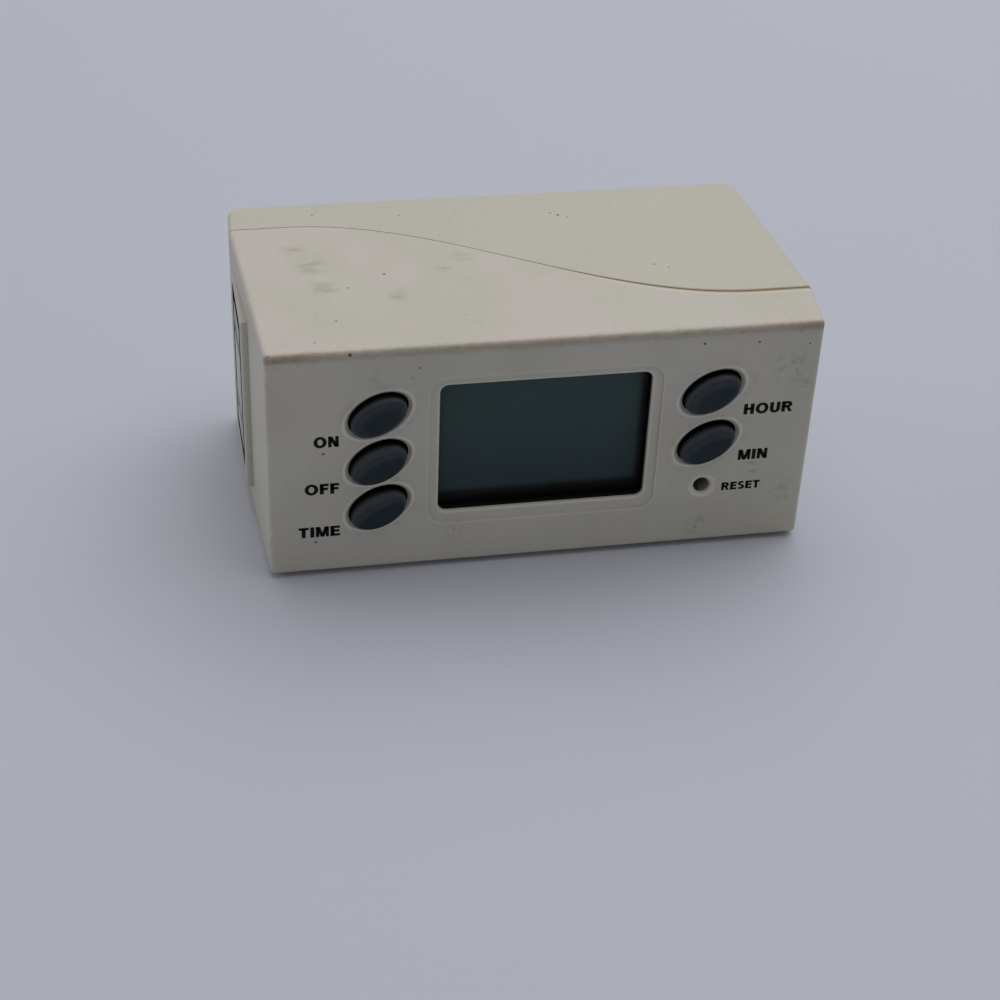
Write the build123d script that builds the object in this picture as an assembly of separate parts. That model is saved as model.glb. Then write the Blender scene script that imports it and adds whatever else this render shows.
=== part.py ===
from build123d import *
import os
from math import radians, tan

# Digital plug-in timer: a two-shell case with a clock display and five keys on its front,
# a two-slot outlet in its left end and two plug blades on its back.
# Lengths are in millimetres. While a piece is drawn, the front face lies on y = 0 and the base on
# z = 0. The written pieces are moved back by half the depth, so that the origin is mid-base.

# Case
face_width = 79.8
case_depth = 44.4
case_height = 37.9
left_draft = 3.0
right_front_draft = 6.3
right_rear_draft = 4.0
wall = 2.0
front_corner = 0.7
back_corner = 2.4
rim_edge = 0.65
base_lift = 0.8
base_slope_length = 8.0

# Parting line, an S across the top and the base, and the lip that locates the two shells
front_band = 9.9
rear_band = 7.4
left_flat = 6.6
right_flat = 7.4
curve_pull = 0.363
curve_accuracy = 1e-9
groove_width = 0.18
groove_depth = 0.22
lip_thickness = 0.9
lip_height = 1.2
lip_gap = 0.1

# Display window, by the case's margins around it, and the shallow frame sunk around it
left_panel = 24.5
right_panel = 24.6
window_above = 6.7
window_below = 9.6
window_corner = 1.3
window_lip = 0.6
window_edge = 0.3
frame_side = 1.55
frame_top = 1.3
frame_bottom = 1.95
frame_corner = 2.5
frame_sink = 0.3

# Keys
key_tilt = 29.5
key_hole_long = 4.65
key_hole_short = 3.0
key_chamfer = 0.5
key_chamfer_depth = 0.45
key_gap = 0.22
key_stand = 1.15
key_edge = 0.9
key_travel = 0.6
key_stop_gap = 0.15
key_bar_reach = 0.8
key_bar_width = 3.0
key_bar_thickness = 0.8
key_stem_radius = 1.8
left_key_in = 15.75
right_key_in = 15.65
top_key_rise = 8.3
left_key_pitch = 7.85
right_key_pitch = 8.65

# Reset pin, worked with a pointed tool through a hole
reset_hole_radius = 1.2
reset_sink_radius = 1.85
reset_sink_depth = 0.5
reset_drop = 8.2
reset_recess = 3.2
reset_pin_gap = 0.2
reset_travel = 0.3
reset_tube_wall = 1.0

# Push switches under the keys
switch_size = 6.0
switch_height = 3.4
switch_corner = 0.4
switch_top_gap = 0.3
plunger_radius = 1.7
plunger_gap = 0.08
plunger_length = 2.3
plunger_floor = 0.2

# Display: lens, black bezel, two glasses with their films, and the strips that wire it to the board
bezel_rim = 0.7
lens_thickness = 1.0
lens_edge = 0.6
lens_gap = 0.2
fit_gap = 0.1
film_thickness = 0.2
glass_thickness = 1.1
glass_margin = 2.0
glass_ledge = 2.7
reflector_thickness = 0.3
bezel_wall = 1.0
bezel_nose_gap = 0.2
strip_width = 2.2
strip_side_gap = 0.7
ear_width = 2.2
ear_length = 3.0
ear_depth = 2.0
ear_rise = 9.0
stake_radius = 0.8
stake_head_radius = 1.2
stake_head_height = 0.6

# Control board, parallel to the front face
board_depth = 9.4
board_thickness = 1.6
board_side_gap = 1.2
board_edge_gap = 1.0
board_screw_in = 6.0
board_screw_rise = 11.1
board_post_radius = 2.4
small_shank_radius = 1.1
small_pilot_radius = 0.95
small_head_radius = 2.1
small_head_height = 1.5
small_screw_length = 6.5
hole_gap = 0.2
chip_radius = 6.5
chip_height = 1.4
chip_edge = 1.1
chip_drop = 1.0
crystal_radius = 1.5
crystal_edge = 0.45
crystal_length = 8.0
crystal_rise = 11.0
crystal_shift = 2.0
cell_radius = 7.7
cell_clear = 0.9
cell_tab_thickness = 0.3
cell_tab_width = 5.0
chip_part_length = 2.0
chip_part_width = 1.25
chip_part_height = 0.6
chip_part_pitch = 4.0
chip_part_count = 6
chip_part_drop = 11.5

# Case screws, driven from the back through sunk bosses
post_radius = 3.0
boss_radius = 3.7
post_rise = 5.0
right_post_in = 5.6
left_post_gap = 5.8
screw_shank_radius = 1.4
screw_pilot_radius = 1.2
screw_head_radius = 2.4
screw_head_height = 1.8
screw_length = 10.0
screw_grip = 3.5
screw_well_gap = 0.3
pilot_end_gap = 0.6
head_round_share = 0.45
cross_length_share = 1.3
cross_width_share = 0.28
cross_depth_share = 0.6

# Outlet in the left end, for a two-blade plug
blade_pitch = 12.7
blade_thickness = 1.5
line_blade_width = 6.35
neutral_blade_width = 7.94
slot_gap = 0.45
plateau_width = 17.9
plateau_height = 28.8
plateau_edge = 0.5
outlet_lead = 10.6
ring_width = 13.8
ring_height = 25.0
ring_band = 2.0
ring_corner = 1.0
outlet_plate_depth = 3.2
block_margin = 1.0
block_length = 15.0
block_rib_thickness = 1.5
block_rib_width = 8.0
block_rib_inset = 2.0
pocket_width = 9.4
pocket_height = 5.0
pocket_back_wall = 1.5
contact_sheet = 0.5
contact_grip = 0.2
contact_length = 12.0
contact_margin = 0.6
contact_tab_width = 3.0
contact_tab_reach = 3.8

# Plug blades on the back and the carrier that clamps them
plug_left_of_post = 16.0
blade_reach = 16.2
blade_tip_cut = 1.2
blade_hole_radius = 1.6
blade_hole_in = 4.2
blade_slot_gap = 0.1
shoulder_depth = 1.2
shoulder_extra = 1.5
tab_width = 4.0
tab_reach = 2.0
carrier_depth = 3.0
carrier_width = 23.0
carrier_height = 14.0
carrier_stake_out = 9.9
label_sink = 0.3
label_width = 27.0
label_height = 19.0
label_in = 8.0
label_corner = 1.5

# Power board, lying above the base
power_rise = 3.0
power_front_gap = 1.0
power_back_gap = 1.0
power_side_gap = 0.4
power_post_radius = 2.3
power_post_in = 3.2
power_post_front = 4.5
power_post_back = 2.4
relay_length = 19.0
relay_width = 15.2
relay_height = 15.6
relay_base_height = 1.6
relay_front = 4.4
relay_side = 0.9
part_gap = 0.5
relay_clear = 1.5
film_cap_width = 7.0
film_cap_height = 13.5
big_cap_radius = 4.0
big_cap_height = 11.5
small_cap_radius = 2.5
small_cap_height = 11.0
rectifier_length = 6.0
rectifier_width = 4.2
rectifier_height = 3.0
resistor_length = 6.0
resistor_radius = 1.2
lead_radius = 0.35
lead_reach = 1.4
transistor_radius = 2.2
transistor_height = 4.6
transistor_stand = 1.0
transistor_pitch = 1.27
transistor_gap = 0.3
fuse_length = 10.0
fuse_radius = 1.8
varistor_radius = 4.0
varistor_thickness = 3.4
cable_width = 5.6
cable_thickness = 1.0
cable_bend = 1.6
cable_rise = 6.9
wire_radius = 0.8
wire_bend = 1.5
wire_drop = 2.4

# Working values that several pieces share
half_width = face_width / 2
mid_z = case_height / 2
left_lean = tan(radians(left_draft))
split_left = case_depth - rear_band
left_end = half_width + split_left * left_lean
right_end = half_width + front_band * tan(radians(right_front_draft))
back_inside = case_depth - wall
window_width = face_width - left_panel - right_panel
window_height = case_height - window_above - window_below
window_shift = (left_panel - right_panel) / 2
window_z = window_below + window_height / 2
board_back = board_depth + board_thickness
left_keys_x = -half_width + left_key_in
right_keys_x = half_width - right_key_in
top_key_z = mid_z + top_key_rise
keys = {
    "on": (left_keys_x, top_key_z),
    "off": (left_keys_x, top_key_z - left_key_pitch),
    "time": (left_keys_x, top_key_z - 2 * left_key_pitch),
    "hour": (right_keys_x, top_key_z),
    "min": (right_keys_x, top_key_z - right_key_pitch),
}
reset_z = mid_z - reset_drop
switch_top = board_depth - switch_height
stem_end = switch_top - key_travel - switch_top_gap
board_left = -half_width + board_side_gap + wall
board_right = half_width - board_side_gap - wall
board_posts = [
    (-half_width + board_screw_in, mid_z + board_screw_rise),
    (-half_width + board_screw_in, mid_z - board_screw_rise),
    (half_width - board_screw_in, mid_z),
]
outlet_y = split_left - outlet_lead
line_z = mid_z - blade_pitch / 2
neutral_z = mid_z + blade_pitch / 2
block_front = -left_end + outlet_plate_depth
block_back = block_front + block_length
block_near = outlet_y - ring_width / 2 - block_margin
cell_height = block_near - cell_clear - 2 * cell_tab_thickness - board_back
tab_end = block_back + contact_tab_reach
left_post_x = block_back + left_post_gap
right_post_x = half_width - right_post_in
post_heights = (post_rise, case_height - post_rise)
plug_x = right_post_x - plug_left_of_post
neutral_x = plug_x - blade_pitch / 2
line_x = plug_x + blade_pitch / 2
carrier_front = back_inside - carrier_depth
blade_tab_end = carrier_front - tab_reach
power_left = left_post_x + boss_radius + power_side_gap
power_right = right_post_x - boss_radius - power_side_gap
power_front = board_back + power_front_gap
power_back = back_inside - power_back_gap
power_under = wall + power_rise
power_top = power_under + board_thickness
power_posts = [
    (power_right - power_post_in, power_front + power_post_front),
    (power_right - power_post_in, power_back - power_post_back),
    (power_left + power_post_in + lead_reach, power_back - power_post_back),
]
lens_back = frame_sink + window_lip + bezel_rim + lens_thickness
glass_front = lens_back + lens_gap + film_thickness
glass_back = glass_front + 2 * glass_thickness
glass_width = window_width + 2 * glass_margin
glass_height = window_height + 2 * glass_margin + fit_gap
bezel_width = glass_width + 2 * (fit_gap + bezel_wall)
bezel_height = glass_height + 2 * (fit_gap + bezel_wall)
ear_x = bezel_width / 2 + ear_width / 2


# Outlines drawn flat and given a thickness along one axis

def along_y(outline, near, far):
    face = Plane((0, far, 0), x_dir=(1, 0, 0), z_dir=(0, -1, 0)) * outline
    return extrude(face, amount=far - near)


def along_x(outline, near, far):
    face = Plane((near, 0, 0), x_dir=(0, 1, 0), z_dir=(1, 0, 0)) * outline
    return extrude(face, amount=far - near)


def along_z(outline, low, high):
    return extrude(Pos(0, 0, low) * outline, amount=high - low)


def rounded(x, z, width, height, radius):
    return Pos(x, z) * RectangleRounded(width, height, radius)


def plain(x, z, width, height):
    return Pos(x, z) * Rectangle(width, height)


def dot(x, z, radius):
    return Pos(x, z) * Circle(radius)


def funnel(outline, mouth, near, far):
    outer = Plane((0, near, 0), x_dir=(1, 0, 0), z_dir=(0, -1, 0)) * mouth
    inner = Plane((0, far, 0), x_dir=(1, 0, 0), z_dir=(0, -1, 0)) * outline
    return loft([outer, inner], ruled=True)


# Case

def case_plan(inset):
    back_right = right_end - (case_depth - front_band) * tan(radians(right_rear_draft))
    back_left = left_end - rear_band * left_lean
    corners = [
        (-half_width, 0),
        (half_width, 0),
        (right_end, front_band),
        (back_right, case_depth),
        (-back_left, case_depth),
        (-left_end, split_left),
    ]
    outline = make_face(Polyline(*corners, close=True))
    if inset == 0:
        return outline
    return offset(outline, -inset, kind=Kind.INTERSECTION)


def case_block(inset):
    return along_z(case_plan(inset), inset, case_height - inset)


# The base slopes up to the front face, so that the front edge stands just clear of the table
def base_slope():
    start = base_slope_length
    past_front = base_lift * (1 + wall / start)
    corners = [(-wall, -wall), (start, -wall), (start, 0), (-wall, past_front)]
    return along_x(make_face(Polyline(*corners, close=True)), -left_end - wall, right_end + wall)


def case_outside():
    block = case_block(0)
    block = fillet(block.edges().filter_by(Axis.Z).group_by(Axis.Y)[0], front_corner)
    block = fillet(block.edges().filter_by(Axis.Z).group_by(Axis.Y)[-1], back_corner)
    block -= base_slope()
    base_rim = block.edges().filter_by_position(Axis.Z, 0, base_lift)
    bend = base_rim.filter_by(Axis.X).filter_by_position(Axis.Y, wall, back_inside)
    top_rim = block.faces().sort_by(Axis.Z)[-1].edges()
    return fillet(base_rim - bend + top_rim, rim_edge)


def curve_points(shift):
    left = (-half_width + left_flat, split_left + shift)
    right = (half_width - right_flat, front_band + shift)
    pull = curve_pull * (right[0] - left[0])
    return left, (left[0] + pull, left[1]), (right[0] - pull, right[1]), right


def front_zone(shift=0.0):
    left, left_pull, right_pull, right = curve_points(shift)
    reach = face_width
    outline = [
        Line((-reach, -wall), (reach, -wall)),
        Line((reach, -wall), (reach, right[1])),
        Line((reach, right[1]), right),
        Bezier(right, right_pull, left_pull, left),
        Line(left, (-reach, left[1])),
        Line((-reach, left[1]), (-reach, -wall)),
    ]
    return along_z(make_face(outline), -wall, case_height + wall)


# Depth of the parting line at one x, found by halving along the curve
def split_depth(x):
    left, left_pull, right_pull, right = curve_points(0.0)
    low, high = 0.0, 1.0
    while high - low > curve_accuracy:
        share = (low + high) / 2
        rest = 1 - share
        weights = (rest ** 3, 3 * rest ** 2 * share, 3 * rest * share ** 2, share ** 3)
        spots = (left, left_pull, right_pull, right)
        found_x = sum(weight * spot[0] for weight, spot in zip(weights, spots))
        if found_x < x:
            low = share
        else:
            high = share
    return sum(weight * spot[1] for weight, spot in zip(weights, spots))


def parting_groove():
    band = front_zone(groove_width / 2) - front_zone(-groove_width / 2)
    return band - case_block(groove_depth)


def lip_ring(gap):
    ring = case_block(wall - lip_thickness - gap) - case_block(wall)
    return ring & (front_zone(0) - front_zone(-lip_height - gap))


def case_posts(radius):
    left_start = board_back + power_front_gap
    posts = []
    for z, edge in zip(post_heights, (0, case_height)):
        for x, start in ((left_post_x, left_start), (right_post_x, wall)):
            posts.append(along_y(dot(x, z, radius), start, back_inside))
            web = plain(x, (z + edge) / 2, radius, post_rise)
            posts.append(along_y(web, start, back_inside))
    return Part() + posts & case_block(wall / 2)


def screw_spots():
    return [(x, split_depth(x), z) for x in (left_post_x, right_post_x) for z in post_heights]


def board_post_solids():
    posts = [along_y(dot(x, z, board_post_radius), wall, board_depth) for x, z in board_posts]
    pilots = [
        along_y(dot(x, z, small_pilot_radius), wall + pilot_end_gap, board_depth)
        for x, z in board_posts
    ]
    return Part() + posts - pilots


def outlet_plateau():
    outline = plain(outlet_y, mid_z, plateau_width, plateau_height)
    plateau = along_x(outline, -left_end, -half_width + wall)
    edges = plateau.faces().sort_by(Axis.X)[0].edges()
    return fillet(edges, plateau_edge) - case_block(wall)


def block_ribs():
    block_half = ring_height / 2 + block_margin
    ribs = []
    for x in (block_front + block_rib_inset, block_back - block_rib_inset - block_rib_thickness):
        outline = plain(outlet_y, mid_z, block_rib_width, case_height - wall)
        rib = along_x(outline, x, x + block_rib_thickness)
        gap = along_x(plain(outlet_y, mid_z, block_rib_width, 2 * block_half), x, x + block_rib_thickness)
        ribs.append(rib - gap)
    return Part() + ribs


def key_outline(extra):
    return Ellipse(key_hole_long + extra, key_hole_short + extra, rotation=key_tilt)


def key_openings():
    cuts = []
    for x, z in keys.values():
        hole = Pos(x, z) * key_outline(0)
        cuts.append(along_y(hole, 0, wall))
        cuts.append(funnel(hole, Pos(x, z) * key_outline(key_chamfer), 0, key_chamfer_depth))
    return cuts


def reset_tube():
    outer = dot(right_keys_x, reset_z, reset_hole_radius + reset_tube_wall)
    return along_y(outer, wall, reset_shoulder() - key_stop_gap - reset_pin_gap)


def reset_opening():
    hole = dot(right_keys_x, reset_z, reset_hole_radius)
    mouth = dot(right_keys_x, reset_z, reset_sink_radius)
    return [along_y(hole, 0, switch_top), funnel(hole, mouth, 0, reset_sink_depth)]


def window_opening():
    frame_width = window_width + 2 * frame_side
    frame_height = window_height + frame_top + frame_bottom
    frame_z = window_z + (frame_top - frame_bottom) / 2
    frame = along_y(rounded(window_shift, frame_z, frame_width, frame_height, frame_corner), 0, frame_sink)
    hole = along_y(rounded(window_shift, window_z, window_width, window_height, window_corner), 0, wall)
    nose_width = window_width + 2 * (lens_edge + bezel_wall - fit_gap)
    nose_height = window_height + 2 * (lens_edge + bezel_wall - fit_gap)
    nose = rounded(window_shift, window_z, nose_width, nose_height, window_corner)
    return [frame, hole, along_y(nose, frame_sink + window_lip, wall)]


def soften_window(shell):
    plane_edges = shell.edges().filter_by_position(Axis.Y, frame_sink - fit_gap, frame_sink + fit_gap)
    reach_x = window_width / 2 + fit_gap
    reach_z = window_height / 2 + fit_gap
    rim = [
        edge for edge in plane_edges
        if abs(edge.center().X - window_shift) < reach_x and abs(edge.center().Z - window_z) < reach_z
    ]
    return fillet(rim, window_edge)


def front_shell():
    shell = case_outside() & front_zone()
    shell += outlet_plateau() & front_zone()
    shell -= case_block(wall)
    shell += (case_posts(post_radius) & front_zone()) + board_post_solids() + block_ribs()
    shell += reset_tube()
    shell -= lip_ring(lip_gap)
    for x, split, z in screw_spots():
        pilot_tip = split - (screw_length - screw_grip) - pilot_end_gap
        shell -= along_y(dot(x, z, screw_pilot_radius), pilot_tip, split + wall)
    ring = rounded(outlet_y, mid_z, ring_width + 2 * fit_gap, ring_height + 2 * fit_gap, ring_corner)
    shell -= along_x(ring, -left_end - wall, block_front)
    shell -= key_openings() + reset_opening() + window_opening()
    shell -= parting_groove()
    return soften_window(shell)


def rear_posts():
    bosses = case_posts(boss_radius) - front_zone()
    stands = [along_z(dot(x, y, power_post_radius), wall, power_under) for x, y in power_posts]
    return bosses + stands


def blade_slot(x, width, gap):
    return plain(x, mid_z, blade_thickness + 2 * gap, width + 2 * gap)


def carrier_stakes():
    spots = [(plug_x - carrier_stake_out, mid_z), (plug_x + carrier_stake_out, mid_z)]
    return stake_solids(spots, carrier_front, back_inside, -1)


# Moulded pins through a board or carrier, with their tips flattened into heads beyond it
def stake_solids(spots, near, far, side):
    pins = [along_y(dot(x, z, stake_radius), near, far) for x, z in spots]
    tip = near if side < 0 else far
    low, high = sorted((tip, tip + side * stake_head_height))
    heads = [along_y(dot(x, z, stake_head_radius), low, high) for x, z in spots]
    return Part() + pins + heads


def stake_holes(spots, near, far):
    return [along_y(dot(x, z, stake_radius + fit_gap), near, far) for x, z in spots]


def rear_shell():
    shell = case_outside() - front_zone() - case_block(wall)
    shell += lip_ring(0) + rear_posts() + carrier_stakes()
    for x, split, z in screw_spots():
        shell -= along_y(dot(x, z, screw_shank_radius + hole_gap), split - wall, case_depth)
        well = dot(x, z, screw_head_radius + screw_well_gap)
        shell -= along_y(well, split + screw_grip, case_depth)
    for x, y in power_posts:
        shell -= along_z(dot(x, y, small_pilot_radius), wall - pilot_end_gap, power_under)
    shell -= along_y(blade_slot(neutral_x, neutral_blade_width, blade_slot_gap), back_inside, case_depth)
    shell -= along_y(blade_slot(line_x, line_blade_width, blade_slot_gap), back_inside, case_depth)
    label_x = -half_width + label_in + label_width / 2
    label = rounded(label_x, mid_z, label_width, label_height, label_corner)
    shell -= along_y(label, case_depth - label_sink, case_depth)
    return shell - parting_groove()


# Screws

def cross_slot(radius, depth):
    length = radius * cross_length_share
    width = radius * cross_width_share
    return extrude(Rectangle(length, width) + Rectangle(width, length), amount=-depth)


# A screw standing on z = 0, head up, shank down
def screw(shank_radius, length, head_radius, head_height):
    head = Pos(0, 0, head_height / 2) * Cylinder(head_radius, head_height)
    head = fillet(head.edges().sort_by(Axis.Z)[-1], head_height * head_round_share)
    shank = Pos(0, 0, -length / 2) * Cylinder(shank_radius, length)
    shank = chamfer(shank.edges().sort_by(Axis.Z)[0], shank_radius / 2)
    return head + shank - Pos(0, 0, head_height) * cross_slot(head_radius, head_height * cross_depth_share)


def case_screws():
    one = screw(screw_shank_radius, screw_length, screw_head_radius, screw_head_height)
    return [Pos(x, split + screw_grip, z) * Rot(-90, 0, 0) * one for x, split, z in screw_spots()]


def control_board_screws():
    one = screw(small_shank_radius, small_screw_length, small_head_radius, small_head_height)
    return [Pos(x, board_back, z) * Rot(-90, 0, 0) * one for x, z in board_posts]


def power_board_screws():
    length = board_thickness + power_rise - pilot_end_gap
    one = screw(small_shank_radius, length, small_head_radius, small_head_height)
    return [Pos(x, y, power_top) * one for x, y in power_posts]


# Keys and their switches

def key_cap(x, z):
    spot = Pos(x, z)
    cap = along_y(spot * key_outline(-key_gap), -key_stand, wall + key_stop_gap)
    cap = fillet(cap.faces().sort_by(Axis.Y)[0].edges(), key_edge)
    bar_near = wall + key_stop_gap
    bar_far = bar_near + key_bar_thickness
    bar_length = 2 * (key_hole_long + key_bar_reach)
    bar = Rectangle(bar_length, key_bar_width, rotation=key_tilt)
    cap += along_y(spot * bar, bar_near, bar_far)
    return cap + along_y(dot(x, z, key_stem_radius), bar_far, stem_end)


def key_plunger(x, z):
    return along_y(dot(x, z, plunger_radius), stem_end, switch_top + plunger_length - key_travel)


def switch_base(x, z, pocket_depth):
    body = along_y(plain(x, z, switch_size, switch_size), switch_top, board_depth)
    body = chamfer(body.edges().filter_by(Axis.Y), switch_corner)
    return body - along_y(dot(x, z, plunger_radius + plunger_gap), switch_top, switch_top + pocket_depth)


def key_switches():
    pocket = plunger_length + plunger_floor
    return [switch_base(x, z, pocket) for x, z in keys.values()]


def reset_shoulder():
    return switch_top - reset_travel - switch_top_gap


def reset_switch():
    return switch_base(right_keys_x, reset_z, plunger_length + plunger_floor)


def reset_plunger():
    pin = dot(right_keys_x, reset_z, reset_hole_radius - reset_pin_gap)
    shoulder = dot(right_keys_x, reset_z, plunger_radius)
    return along_y(pin, reset_recess, reset_shoulder()) + along_y(
        shoulder, reset_shoulder(), switch_top + plunger_length - reset_travel
    )


# Display

def around_window(width, height, near, far):
    return along_y(plain(window_shift, window_z, width, height), near, far)


def lcd_lens():
    width = window_width + 2 * (lens_edge - fit_gap)
    height = window_height + 2 * (lens_edge - fit_gap)
    return around_window(width, height, lens_back - lens_thickness, lens_back)


def ear_spots():
    return [
        (window_shift + side * ear_x, window_z + end * ear_rise)
        for side in (-1, 1) for end in (-1, 1)
    ]


def lcd_bezel():
    rim_front = frame_sink + window_lip
    nose_width = window_width + 2 * (lens_edge + bezel_wall - fit_gap - bezel_nose_gap)
    nose_height = window_height + 2 * (lens_edge + bezel_wall - fit_gap - bezel_nose_gap)
    nose = rounded(window_shift, window_z, nose_width, nose_height, window_corner)
    bezel = along_y(nose, rim_front, wall) + around_window(bezel_width, bezel_height, wall, board_depth)
    for x, z in ear_spots():
        bezel += along_y(plain(x, z, ear_width, ear_length), board_depth - ear_depth, board_depth)
    hole = rounded(window_shift, window_z, window_width, window_height, window_corner)
    bezel -= along_y(hole, rim_front, glass_front)
    seat_width = window_width + 2 * lens_edge
    seat_height = window_height + 2 * lens_edge
    bezel -= around_window(seat_width, seat_height, rim_front + bezel_rim, glass_front)
    pocket_wide = glass_width + 2 * fit_gap
    pocket_high = glass_height + 2 * fit_gap
    bezel -= around_window(pocket_wide, pocket_high, glass_front, board_depth)
    return bezel + stake_solids(ear_spots(), board_depth, board_back, 1)


def lcd_front_polariser():
    width = window_width + 2 * (lens_edge - 2 * fit_gap)
    height = window_height + 2 * (lens_edge - 2 * fit_gap)
    return around_window(width, height, glass_front - film_thickness, glass_front)


def lcd_front_glass():
    return around_window(glass_width, glass_height, glass_front, glass_front + glass_thickness)


def lcd_rear_glass():
    height = glass_height - 2 * glass_ledge
    return around_window(glass_width, height, glass_front + glass_thickness, glass_back)


def lcd_reflector():
    height = glass_height - 2 * glass_ledge
    width = glass_width - 2 * glass_margin
    return around_window(width, height, glass_back, glass_back + reflector_thickness)


def contact_strips():
    rise = (glass_height - glass_ledge) / 2
    length = glass_width - 2 * strip_side_gap
    strips = []
    for z in (window_z - rise, window_z + rise):
        outline = plain(window_shift, z, length, strip_width)
        strips.append(along_y(outline, glass_front + glass_thickness, board_depth))
    return strips


# Control board

def control_board():
    height = case_height - 2 * (wall + board_edge_gap)
    outline = plain((board_left + board_right) / 2, mid_z, board_right - board_left, height)
    board = along_y(outline, board_depth, board_back)
    post_room = boss_radius + power_side_gap
    notch_width = 2 * (board_right - right_post_x + post_room)
    notch_height = 2 * (height / 2 - (mid_z - post_rise) + post_room)
    for side in (-1, 1):
        notch = plain(board_right, mid_z + side * height / 2, notch_width, notch_height)
        board -= along_y(notch, board_depth, board_back)
    for x, z in board_posts:
        board -= along_y(dot(x, z, small_shank_radius + hole_gap), board_depth, board_back)
    return board - stake_holes(ear_spots(), board_depth, board_back)


def chip_blob():
    outline = dot(window_shift, window_z - chip_drop, chip_radius)
    blob = along_y(outline, board_back, board_back + chip_height)
    return fillet(blob.faces().sort_by(Axis.Y)[-1].edges(), chip_edge)


def clock_crystal():
    axis_y = board_back + crystal_radius
    can = Rot(0, 90, 0) * Cylinder(crystal_radius, crystal_length)
    can = fillet(can.edges(), crystal_edge)
    return Pos(window_shift + crystal_shift, axis_y, mid_z + crystal_rise) * can


def board_chips():
    chips = []
    for index in range(chip_part_count):
        x = window_shift + (index - (chip_part_count - 1) / 2) * chip_part_pitch
        outline = plain(x, mid_z - chip_part_drop, chip_part_length, chip_part_width)
        chips.append(along_y(outline, board_back, board_back + chip_part_height))
    return chips


def cell_x():
    return (board_left + left_keys_x) / 2 + cell_tab_width / 2


def backup_cell():
    near = board_back + cell_tab_thickness
    cell = along_y(dot(cell_x(), mid_z, cell_radius), near, near + cell_height)
    return fillet(cell.edges(), cell_tab_thickness * 2)


def cell_tabs():
    near = board_back + cell_tab_thickness
    far = near + cell_height
    under = along_y(plain(cell_x(), mid_z, cell_tab_width, cell_radius), board_back, near)
    length = cell_radius + 2 * cell_tab_thickness
    over_outline = plain(cell_x(), mid_z + cell_radius / 2, cell_tab_width, length)
    over = along_y(over_outline, far, far + cell_tab_thickness)
    leg_z = mid_z + cell_radius + cell_tab_thickness / 2
    leg = along_y(plain(cell_x(), leg_z, cell_tab_width, cell_tab_thickness), board_back, far)
    return [under, over + leg]


# Outlet

def outlet_ring():
    outer = rounded(outlet_y, mid_z, ring_width, ring_height, ring_corner)
    inner = plain(outlet_y, mid_z, ring_width - 2 * ring_band, ring_height - 2 * ring_band)
    return along_x(outer, -left_end, block_front) - along_x(inner, -left_end, block_front)


def outlet_slots(near, far):
    wide = neutral_blade_width + 2 * slot_gap
    narrow = line_blade_width + 2 * slot_gap
    thick = blade_thickness + 2 * slot_gap
    neutral = along_x(plain(outlet_y, neutral_z, wide, thick), near, far)
    line = along_x(plain(outlet_y, line_z, narrow, thick), near, far)
    return [neutral, line]


def outlet_face():
    width = ring_width - 2 * ring_band - 2 * fit_gap
    height = ring_height - 2 * ring_band - 2 * fit_gap
    face = along_x(plain(outlet_y, mid_z, width, height), -left_end, block_front)
    return Part() + face - outlet_slots(-left_end, block_front)


def outlet_block():
    width = ring_width + 2 * block_margin
    height = ring_height + 2 * block_margin
    block = along_x(plain(outlet_y, mid_z, width, height), block_front, block_back)
    for z in (line_z, neutral_z):
        pocket = plain(outlet_y, z, pocket_width, pocket_height)
        block -= along_x(pocket, block_front, block_back - pocket_back_wall)
        passage = plain(outlet_y, z, contact_tab_width + 2 * fit_gap, contact_sheet + 2 * fit_gap)
        block -= along_x(passage, block_back - pocket_back_wall, block_back)
    return block


# A bent brass clip whose two leaves pinch a blade, with a tab out of the block's back
def outlet_contact(z, blade_width):
    near = block_back - pocket_back_wall - contact_length
    far = block_back - pocket_back_wall
    width = blade_width + contact_margin
    reach = blade_thickness / 2 - contact_grip
    outer = plain(outlet_y, z, width, 2 * (reach + contact_sheet))
    gap = plain(outlet_y, z, width, 2 * reach)
    clip = along_x(outer, near, far) - along_x(gap, near, far - contact_sheet)
    flare = plain(outlet_y, z, width, pocket_height - 2 * fit_gap)
    mouth = along_x(flare, near, near + contact_sheet) - along_x(gap, near, near + contact_sheet)
    tab = plain(outlet_y, z, contact_tab_width, contact_sheet)
    return clip + mouth + along_x(tab, far, tab_end)


# Plug blades

def plug_blade(x, width):
    tip = case_depth + blade_reach
    blade = along_x(plain((back_inside + tip) / 2, mid_z, tip - back_inside, width), x, x + blade_thickness)
    blade = Pos(-blade_thickness / 2, 0, 0) * blade
    tip_edges = blade.edges().filter_by(Axis.X).group_by(Axis.Y)[-1]
    blade = chamfer(tip_edges, blade_tip_cut)
    hole = Rot(0, 90, 0) * Cylinder(blade_hole_radius, 2 * blade_thickness)
    blade -= Pos(x, tip - blade_hole_in, mid_z) * hole
    left = x - blade_thickness / 2
    right = x + blade_thickness / 2
    shoulder_y = back_inside - shoulder_depth
    shoulder = plain(back_inside - shoulder_depth / 2, mid_z, shoulder_depth, width + 2 * shoulder_extra)
    tab_length = shoulder_y - blade_tab_end
    tab = plain(shoulder_y - tab_length / 2, mid_z, tab_length, tab_width)
    return blade + along_x(shoulder, left, right) + along_x(tab, left, right)


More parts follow.
